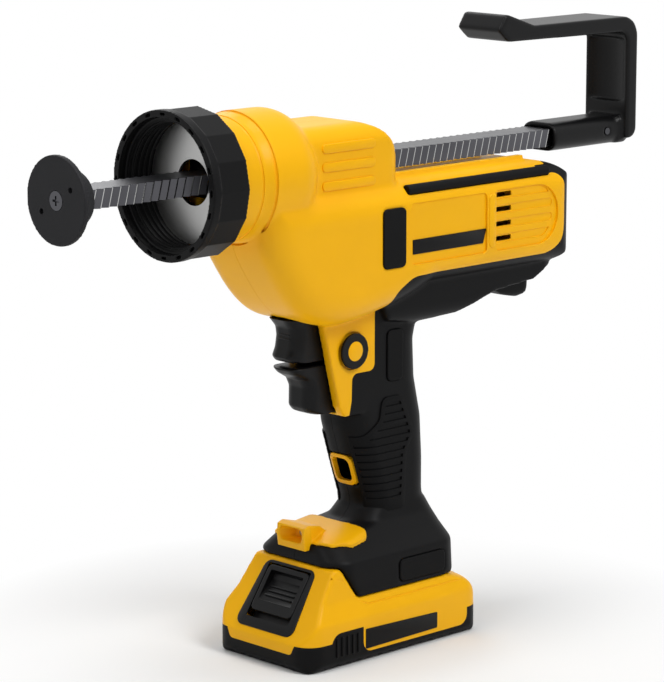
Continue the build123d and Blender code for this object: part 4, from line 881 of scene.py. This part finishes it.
# Front edges of the levers, seen from the side and going up
TRIGGER_EDGE = [
    (-47, 163.9), (-50, 164.5), (-52, 167), (-49.8, 171.5), (-48.7, 178), (-49.5, 183), (-54, 188),
]
RELEASE_EDGE = [
    (-34, 134), (-37.5, 135.4), (-39.8, 138.2), (-39.6, 149), (-42, 153.8), (-48.4, 157.5), (-51, 160.3),
]


def nosed(mesh, edge, half_width, radius):
    """Rounds a lever's face across: points near its front edge are drawn in towards the middle."""
    points = points_of(mesh)
    fronts = np.interp(points[:, 2], [z for x, z in edge], [x for x, z in edge])
    depth = np.clip(points[:, 0] - fronts, 0, radius)
    room = half_width - radius + np.sqrt(np.maximum(0, radius ** 2 - (radius - depth) ** 2))
    points[:, 1] *= room / half_width
    mesh.vertices.foreach_set("co", (points * MM).ravel())
    mesh.update()
    return mesh


class GUN_OT_levers(Make):
    """Trigger with its ribs, and the release lever under it"""
    bl_idname = "gun.levers"
    bl_label = "Levers"

    def execute(self, context):
        half_width, nose = 10.5, 6.5
        levers = ("trigger", "trigger", TRIGGER_EDGE), ("release_lever", "release", RELEASE_EDGE)
        for node, body, edge in levers:
            lever = nosed(remeshed(node_copy(node), grid_mm=0.5), edge, half_width, nose)
            lever = softened(lever, rounds=12)
            if node == "trigger":
                ribs = bar_row(
                    frame_at((-47.6, 0, 174.6), ACROSS, FORWARD),
                    length=9, width=1.1, height=1.5, count=3, step=(0, -2.3), edge=0.3, finish="control_black",
                )
                lever = added(lever, ribs)
            piece_from(lever, node + "_skin", "control_black", body, (node,), smooth_deg=50)
        return {"FINISHED"}


class GUN_OT_button(Make):
    """Lock button with the dot on its end"""
    bl_idname = "gun.button"
    bl_label = "Lock button"

    def execute(self, context):
        head_y, dot_radius = 19.6, 5.4
        skin("lock_button", "control_black", "lock", grid_mm=0.4, rounds=3)
        dot = slab(circle_outline(BUTTON_X, BUTTON_Z, dot_radius, 10), -head_y - 0.12, -head_y + 0.8)
        piece_from(bevelled(dot, 0.1), "lock_button_dot", "yellow_shell", "lock")
        return {"FINISHED"}


class GUN_OT_dial(Make):
    """Speed dial with ridges round its edge"""
    bl_idname = "gun.dial"
    bl_label = "Speed dial"

    def execute(self, context):
        centre, radius, thickness = Vector((141.0, 0, 213.0)), 11.0, 7.0
        ridges = grown(trees["ridges"], {
            "Ring": (radius - 0.45) * MM,
            "Ridge": 0.55 * MM,
            "Height": (thickness - 1.2) * MM,
            "Count": 36,
            "Finish": finishes["control_black"],
        })
        dial = softened(remeshed(node_copy("speed_dial"), grid_mm=0.4), rounds=3)
        dial = added(dial, moved(ridges, Matrix.Translation(centre * MM)))
        piece_from(dial, "speed_dial_skin", "control_black", "dial", ("speed_dial",), smooth_deg=40)
        return {"FINISHED"}


# Pads and small mouldings on the housing


# A grip panel and its grooved part, seen from the side
GRIP_PANEL = rounded(
    [(-40, 119), (-6, 118), (6, 126), (8, 138.5), (23, 138.5), (33, 116), (27, 106), (25.5, 74), (-40, 74)],
    [0, 10, 6, 5, 5, 6, 8, 4, 0],
)
GROOVE_PANEL = rounded(
    [(-40, 115), (-4, 114), (8.5, 124), (11, 136), (21.5, 136), (30, 116), (24, 106), (22.5, 80), (-40, 80)],
    [0, 10, 6, 3, 3, 6, 8, 3, 0],
)
# The panels end beside the pocket
POCKET_SIDE = 9.6


def handle_form(grow):
    """The handle, larger by a margin."""
    side = HANDLE_SIDE + grow
    rings = []
    for height, front, rear in HANDLE_CUTS:
        edge = rounded(box_outline(front - grow, rear + grow, -side, side), HANDLE_ROUND + grow, 12)
        rings.append([(x, y, height) for x, y in edge])
    return lofted(rings)


class GUN_OT_grips(Make):
    """Rubber grip panels, wrapped round the handle and grooved across"""
    bl_idname = "gun.grips"
    bl_label = "Grip panels"

    def execute(self, context):
        proud, sunk, groove = 0.8, 1.0, 1.1
        panel = kept(handle_form(proud), slab(GRIP_PANEL, -REACH, -POCKET_SIDE))
        panel = bevelled(cut(panel, handle_form(-sunk)), 0.35)
        rows = bar_row(
            frame_at((0, 0, 82.5), ALONG, LEFT),
            length=90, width=1.9, height=60, count=sizes().grip_grooves, step=(0, 4.3), edge=0.4,
            finish="soft_rubber",
        )
        rows = kept(rows, slab(GROOVE_PANEL, -REACH, -POCKET_SIDE - 1.6))
        panel = cut(panel, cut(rows, handle_form(proud - groove)))
        for side, mesh in both_sides(panel):
            node = side + "_grip_panel"
            piece_from(mesh, node + "_skin", "soft_rubber", "housing", (node,), smooth_deg=30)
        return {"FINISHED"}


class GUN_OT_pads(Make):
    """Rubber pads let into the housing"""
    bl_idname = "gun.pads"
    bl_label = "Pads"

    def execute(self, context):
        for side in ("left", "right"):
            for pad, rounds in (("side_bumper", 8), ("shoulder_strip", 3), ("thumb_pad", 3), ("foot_pad", 5)):
                skin(side + "_" + pad, "soft_rubber", "housing", grid_mm=0.4, rounds=rounds)
        return {"FINISHED"}


class GUN_OT_pocket(Make):
    """Thin rim that follows the handle round the pocket, with a black cup behind it"""
    bl_idname = "gun.pocket"
    bl_label = "Handle pocket"

    def execute(self, context):
        proud, rim_depth, cup_depth = 0.7, 2.5, 2.6
        rim_rear_x, cup_rear_x, mouth_floor_x = 5, 11.8, 10.2
        rim = rounded(box_outline(-8.4, 8.4, 89.1, 106.9), 4.5)
        mouth = slab(rounded(box_outline(-6.3, 6.3, 91.3, 104.7), 3.2), -REACH, mouth_floor_x, "X")
        ring = kept(handle_form(proud), slab(rim, -REACH, rim_rear_x, "X"))
        ring = cut(ring, mouth, handle_form(-rim_depth))
        cup = cut(kept(handle_form(-cup_depth), slab(rim, -REACH, cup_rear_x, "X")), mouth)
        piece_from(bevelled(ring, 0.4), "pocket_rim", "yellow_shell", "housing", ("pocket_frame",))
        piece_from(cup, "pocket_cup", "control_black", "housing")
        return {"FINISHED"}


class GUN_OT_hood(Make):
    """Lamp hood, on a plate with a round outline that ends in front of the handle"""
    bl_idname = "gun.hood"
    bl_label = "Lamp hood"

    def execute(self, context):
        edge = [(-46, -11.5), (-40, -11.5), (-36, -23), (-24, -27), (-9, -25), (-12, -5)]
        edge += [(x, -y) for x, y in reversed(edge)]
        edge = rounded(edge, [0, 1, 7, 6, 4, 5, 5, 4, 6, 7, 1, 0])
        hood = kept(node_copy("light_hood"), slab(edge, -REACH, REACH, "Z"))
        hood = softened(remeshed(hood, grid_mm=0.4), rounds=8)
        piece_from(hood, "light_hood_skin", "yellow_shell", "housing", ("light_hood",), smooth_deg=60)
        return {"FINISHED"}


# Battery pack


SEAM_Z = 15.0
DROP_Z = 9.5
PACK_REAR_X = 67.5
PACK_TOP_Z = 35.6
# Where the pack stays crisp: low and high corners, for both sides
CRISP_PACK = [
    ((-63, 0, 21), (-37, 18.5, 53)),  # well of the latch
    ((-30, 0, 34), (56, 26, 60)),  # rails
    ((50, 20, -1), (70, 32, 5)),  # rear screws
    ((-70, 20, -1), (-50, 32, 5)),  # front screws
]
# All but the pack's upper rear corners
SOFT_REAR = [((-80, 0, -5), (42, 60, 60)), ((-80, 0, -5), (80, 60, 15))]
# Room for the latch on the slope, along it and across it
LATCH_WELL = (9.2, 41.2, -16.6, 16.6)
WELL_FLOOR = -5.1
# Foot of the pack's sloping front, and the way up it and out of it
SLOPE_FOOT = (-67.5, 0, 15)
SLOPE_UP = Vector((25.5, 0, 37.5)).normalized()
SLOPE_OUT = Vector((-37.5, 0, 25.5)).normalized()


def pack_lip():
    """Line of the groove under the foot: along a side, up the head and across its front, both ways."""
    side = [
        (58, -35.5, 31.3), (-20, -35.5, 31.3), (-27.5, -34.6, 34.5), (-36, -32.2, 46.5), (-43.5, -31.9, 48.6),
    ]
    return side + [(x, -y, z) for x, y, z in reversed(side)]


def base_zone():
    """The black part of the pack: below the seam, but for the yellow plates, and with the ribbed ends."""
    below = block(-REACH, REACH, -REACH, REACH, -REACH, SEAM_Z)
    outer, inner = -PACK_SIDE - 2, -PACK_SIDE + 2.5
    plate = slab(rounded(box_outline(-26, 55, 5.5, 24), 6), outer, inner)
    end = slab(rounded(box_outline(-50, -26, 3, 20), [7, 0.5, 0.5, 7]), outer, inner)
    drop = rounded([(-24, DROP_Z), (24, DROP_Z), (29, SEAM_Z + 5), (-29, SEAM_Z + 5)], [3, 3, 0, 0])
    drop = slab(drop, -REACH, -65, "X")
    return added(cut(below, *paired(plate), drop), *paired(end))


class GUN_OT_battery(Make):
    """Battery pack: yellow case, black base with ribbed ends, and bare side plates"""
    bl_idname = "gun.battery"
    bl_label = "Battery pack"

    def execute(self, context):
        whole = added(node_copy("battery_case"), node_copy("battery_base"))
        whole = softened(remeshed(whole, grid_mm=0.8), rounds=24, crisp=CRISP_PACK)
        whole = softened(whole, rounds=2)
        crown = slab(rounded(box_outline(0, PACK_REAR_X, -60, PACK_TOP_Z), 19, 16), -REACH, REACH)
        corner = cut(block(48, 80, -60, 60, 16, PACK_TOP_Z + 1), crown)
        whole = softened(cut(whole, corner), rounds=90, crisp=SOFT_REAR)
        # The latch's well is a little roomier than the latch and its travel
        well = slab(rounded(box_outline(*LATCH_WELL), 1), WELL_FLOOR, 2, "Z")
        well = moved(well, frame_at(SLOPE_FOOT, SLOPE_UP, SLOPE_OUT))
        notch = {"length": 4, "width": 2.2, "height": 6, "step": (8, 0), "finish": "black_shell"}
        notches = bar_row(frame_at((-44, -PACK_SIDE + 2.2, 0.8), ALONG, LEFT), count=12, **notch)
        front_notches = bar_row(frame_at((-PACK_REAR_X + 2.2, -24, 0.8), ACROSS, FORWARD), count=7, **notch)
        whole = cut(whole, well, tube(pack_lip(), 0.6), *paired(notches), front_notches)
        ribs = bar_row(
            frame_at((-46, -PACK_SIDE + 0.6, 12), UP, LEFT),
            length=11, width=1.6, height=1.3, count=5, step=(0, -4), edge=0.3, finish="black_shell",
        )
        zone = base_zone()
        case = main_island(cut(whole, zone))
        base = added(main_island(kept(whole, zone)), *paired(ribs))
        piece_from(case, "battery_case_skin", "yellow_shell", "battery", ("battery_case",))
        piece_from(base, "battery_base_skin", "black_shell", "battery", ("battery_base",))
        edge = rounded([(-24.5, 7.2), (31, 8), (31, 17), (-24.5, 18.4)], 0.8)
        plate = bevelled(slab(edge, -PACK_SIDE - 0.3, -PACK_SIDE + 0.6), 0.12)
        for side, mesh in both_sides(plate):
            piece_from(mesh, side + "_pack_plate", "control_black", "battery")
        return {"FINISHED"}


class GUN_OT_latch(Make):
    """Latch button with its finger hollow and ribs, in a black bezel that also lines the well as painted shade
    """
    bl_idname = "gun.latch"
    bl_label = "Latch"

    def execute(self, context):
        # Drawn with X up the slope and Z out of it, then put in place
        place = frame_at(SLOPE_FOOT, SLOPE_UP, SLOPE_OUT)
        latch = softened(remeshed(node_copy("latch_button"), grid_mm=0.4), rounds=5)
        ramp = [(19.5, 3), (19.5, 0.4), (33.5, -3.8), (36.8, -3.8), (37.6, 3)]
        hollow = bevelled(slab(rounded(ramp, [0, 0.5, 2, 1, 0]), -12.8, 12.8), 0.5)
        ramp_out = (4.2, 0, 14)
        ribs = bar_row(
            frame_at((23, 0, -0.9), ACROSS, ramp_out),
            length=21, width=1.0, height=1.1, count=3, step=(0, -3), edge=0.25, finish="control_black",
        )
        latch = added(cut(latch, moved(hollow, place)), moved(ribs, place))
        piece_from(latch, "latch_button_skin", "control_black", "latch", ("latch_button",), smooth_deg=40)
        edge = rounded([(3.5, -22.8), (42.8, -19.4), (42.8, 19.4), (3.5, 22.8)], 5)
        # The rim on the slope is the bezel; below it the black plate lines the well's walls and floor as painted
        # shade
        bezel = bevelled(slab(edge, WELL_FLOOR - 0.6, 0.5, "Z"), 0.3)
        opening = slab(rounded(box_outline(*LATCH_WELL), 1), WELL_FLOOR + 0.15, 5, "Z")
        piece_from(moved(cut(bezel, opening), place), "latch_bezel_and_painted_well_shade", "control_black", "battery")
        return {"FINISHED"}


# Stage


def white_seen(tree):
    """One where a camera, glossy or transmission ray looks, else nought."""
    path = add_node(tree, "ShaderNodeLightPath")
    pair = add_node(
        tree, "ShaderNodeMath", {"operation": "MAXIMUM"},
        {0: (path, "Is Camera Ray"), 1: (path, "Is Glossy Ray")},
    )
    return add_node(
        tree, "ShaderNodeMath", {"operation": "MAXIMUM"}, {0: (pair, 0), 1: (path, "Is Transmission Ray")}
    )


class GUN_OT_stage(Make):
    """Pale floor, white surround, soft lights and the camera"""
    bl_idname = "gun.stage"
    bl_label = "Stage"

    def execute(self, context):
        scene = context.scene
        scene.view_settings.view_transform = "Standard"
        self.make_floor(scene)
        self.make_surround(scene)
        self.make_lights(scene)
        self.make_camera(scene)
        return {"FINISHED"}

    def make_floor(self, scene):
        bm = bmesh.new()
        bmesh.ops.create_grid(bm, x_segments=1, y_segments=1, size=4.0)
        # A little below the pack, so that the two faces don't lie in one plane
        bmesh.ops.translate(bm, vec=(0, 0, -0.1 * MM), verts=bm.verts[:])
        mesh = mesh_from(bm, "floor")
        floor = bpy.data.objects.new("floor", mesh)
        scene.collection.objects.link(floor)
        # Matt paper that keeps the shadow near the gun and goes to white further off
        paper = bpy.data.materials.new("matt white paper")
        paper.use_nodes = True
        tree = paper.node_tree
        shader = tree.nodes["Principled BSDF"]
        shader.inputs["Base Color"].default_value = linear(colours().floor)
        shader.inputs["Roughness"].default_value = 0.9
        shader.inputs["Specular IOR Level"].default_value = 0.1
        place = add_node(tree, "ShaderNodeTexCoord")
        distance = add_node(tree, "ShaderNodeVectorMath", {"operation": "LENGTH"}, {0: (place, "Object")})
        far = add_node(
            tree, "ShaderNodeMapRange", {"in:From Min": 0.07, "in:From Max": 0.24},
            {"Value": (distance, "Value")},
        )
        share = add_node(
            tree, "ShaderNodeMath", {"operation": "MULTIPLY"}, {0: (far, "Result"), 1: (white_seen(tree), 0)}
        )
        glow = add_node(tree, "ShaderNodeEmission")
        mix = add_node(
            tree, "ShaderNodeMixShader", links={0: (share, 0), 1: (shader, "BSDF"), 2: (glow, "Emission")}
        )
        tree.links.new(mix.outputs["Shader"], tree.nodes["Material Output"].inputs["Surface"])
        mesh.materials.append(paper)

    def make_surround(self, scene):
        world = bpy.data.worlds.new("studio")
        world.use_nodes = True
        scene.world = world
        tree = world.node_tree
        back = tree.nodes["Background"]
        back.inputs["Color"].default_value = (1, 1, 1, 1)
        # White where it is seen, and dim in the light that it gives
        level = add_node(
            tree, "ShaderNodeMapRange", {"in:To Min": 0.17, "in:To Max": 1.0}, {"Value": (white_seen(tree), 0)}
        )
        tree.links.new(level.outputs["Result"], back.inputs["Strength"])

    def make_lights(self, scene):
        target = Vector((0, 0, 0.18))
        for name, place, size, watts in (
            ("key", (0.25, -1.5, 1.8), 0.8, 24),
            ("front", (-1.6, 0.2, 1.9), 0.8, 13),
            ("rim", (0.6, 1.5, 1.3), 1.0, 6),
            ("top", (0.0, 0.0, 2.0), 0.8, 12),
        ):
            lamp = bpy.data.lights.new(name, "AREA")
            lamp.size = size
            lamp.energy = watts
            piece = bpy.data.objects.new(name, lamp)
            piece.location = place
            piece.rotation_euler = (target - Vector(place)).to_track_quat("-Z", "Y").to_euler()
            scene.collection.objects.link(piece)

    def make_camera(self, scene):
        lens = bpy.data.cameras.new("camera")
        lens.sensor_fit = "VERTICAL"
        lens.sensor_height = 36.0
        lens.lens = 166.31
        lens.clip_end = 20.0
        camera = bpy.data.objects.new("camera", lens)
        eye = Vector((-1.1800, -1.2114, 0.5049))
        aim = Vector((-0.01335, 0.0, 0.17078))
        camera.location = eye
        camera.rotation_euler = (aim - eye).to_track_quat("-Z", "Y").to_euler()
        scene.collection.objects.link(camera)
        scene.camera = camera


STEPS = (
    GUN_OT_solids, GUN_OT_shells, GUN_OT_plates, GUN_OT_collar, GUN_OT_rod, GUN_OT_disc, GUN_OT_hook,
    GUN_OT_levers, GUN_OT_button, GUN_OT_dial, GUN_OT_grips, GUN_OT_pads, GUN_OT_pocket, GUN_OT_hood,
    GUN_OT_battery, GUN_OT_latch, GUN_OT_stage,
)


class GUN_PT_panel(bpy.types.Panel):
    """Lists the steps that dress the gun"""
    bl_idname = "GUN_PT_panel"
    bl_label = "Caulking gun"
    bl_space_type = "VIEW_3D"
    bl_region_type = "UI"
    bl_category = "Gun"

    def draw(self, context):
        for step in STEPS:
            self.layout.operator(step.bl_idname)


CLASSES = (GunColours, GunSizes, *STEPS, GUN_PT_panel)


def register():
    for kind in CLASSES:
        bpy.utils.register_class(kind)
    bpy.types.Scene.gun_colours = bpy.props.PointerProperty(type=GunColours)
    bpy.types.Scene.gun_sizes = bpy.props.PointerProperty(type=GunSizes)


def unregister():
    del bpy.types.Scene.gun_colours
    del bpy.types.Scene.gun_sizes
    for kind in reversed(CLASSES):
        bpy.utils.unregister_class(kind)


def main():
    register()
    make_finishes()
    for step in STEPS:
        group, action = step.bl_idname.split(".")
        getattr(getattr(bpy.ops, group), action)()


if __name__ == "__main__":
    main()
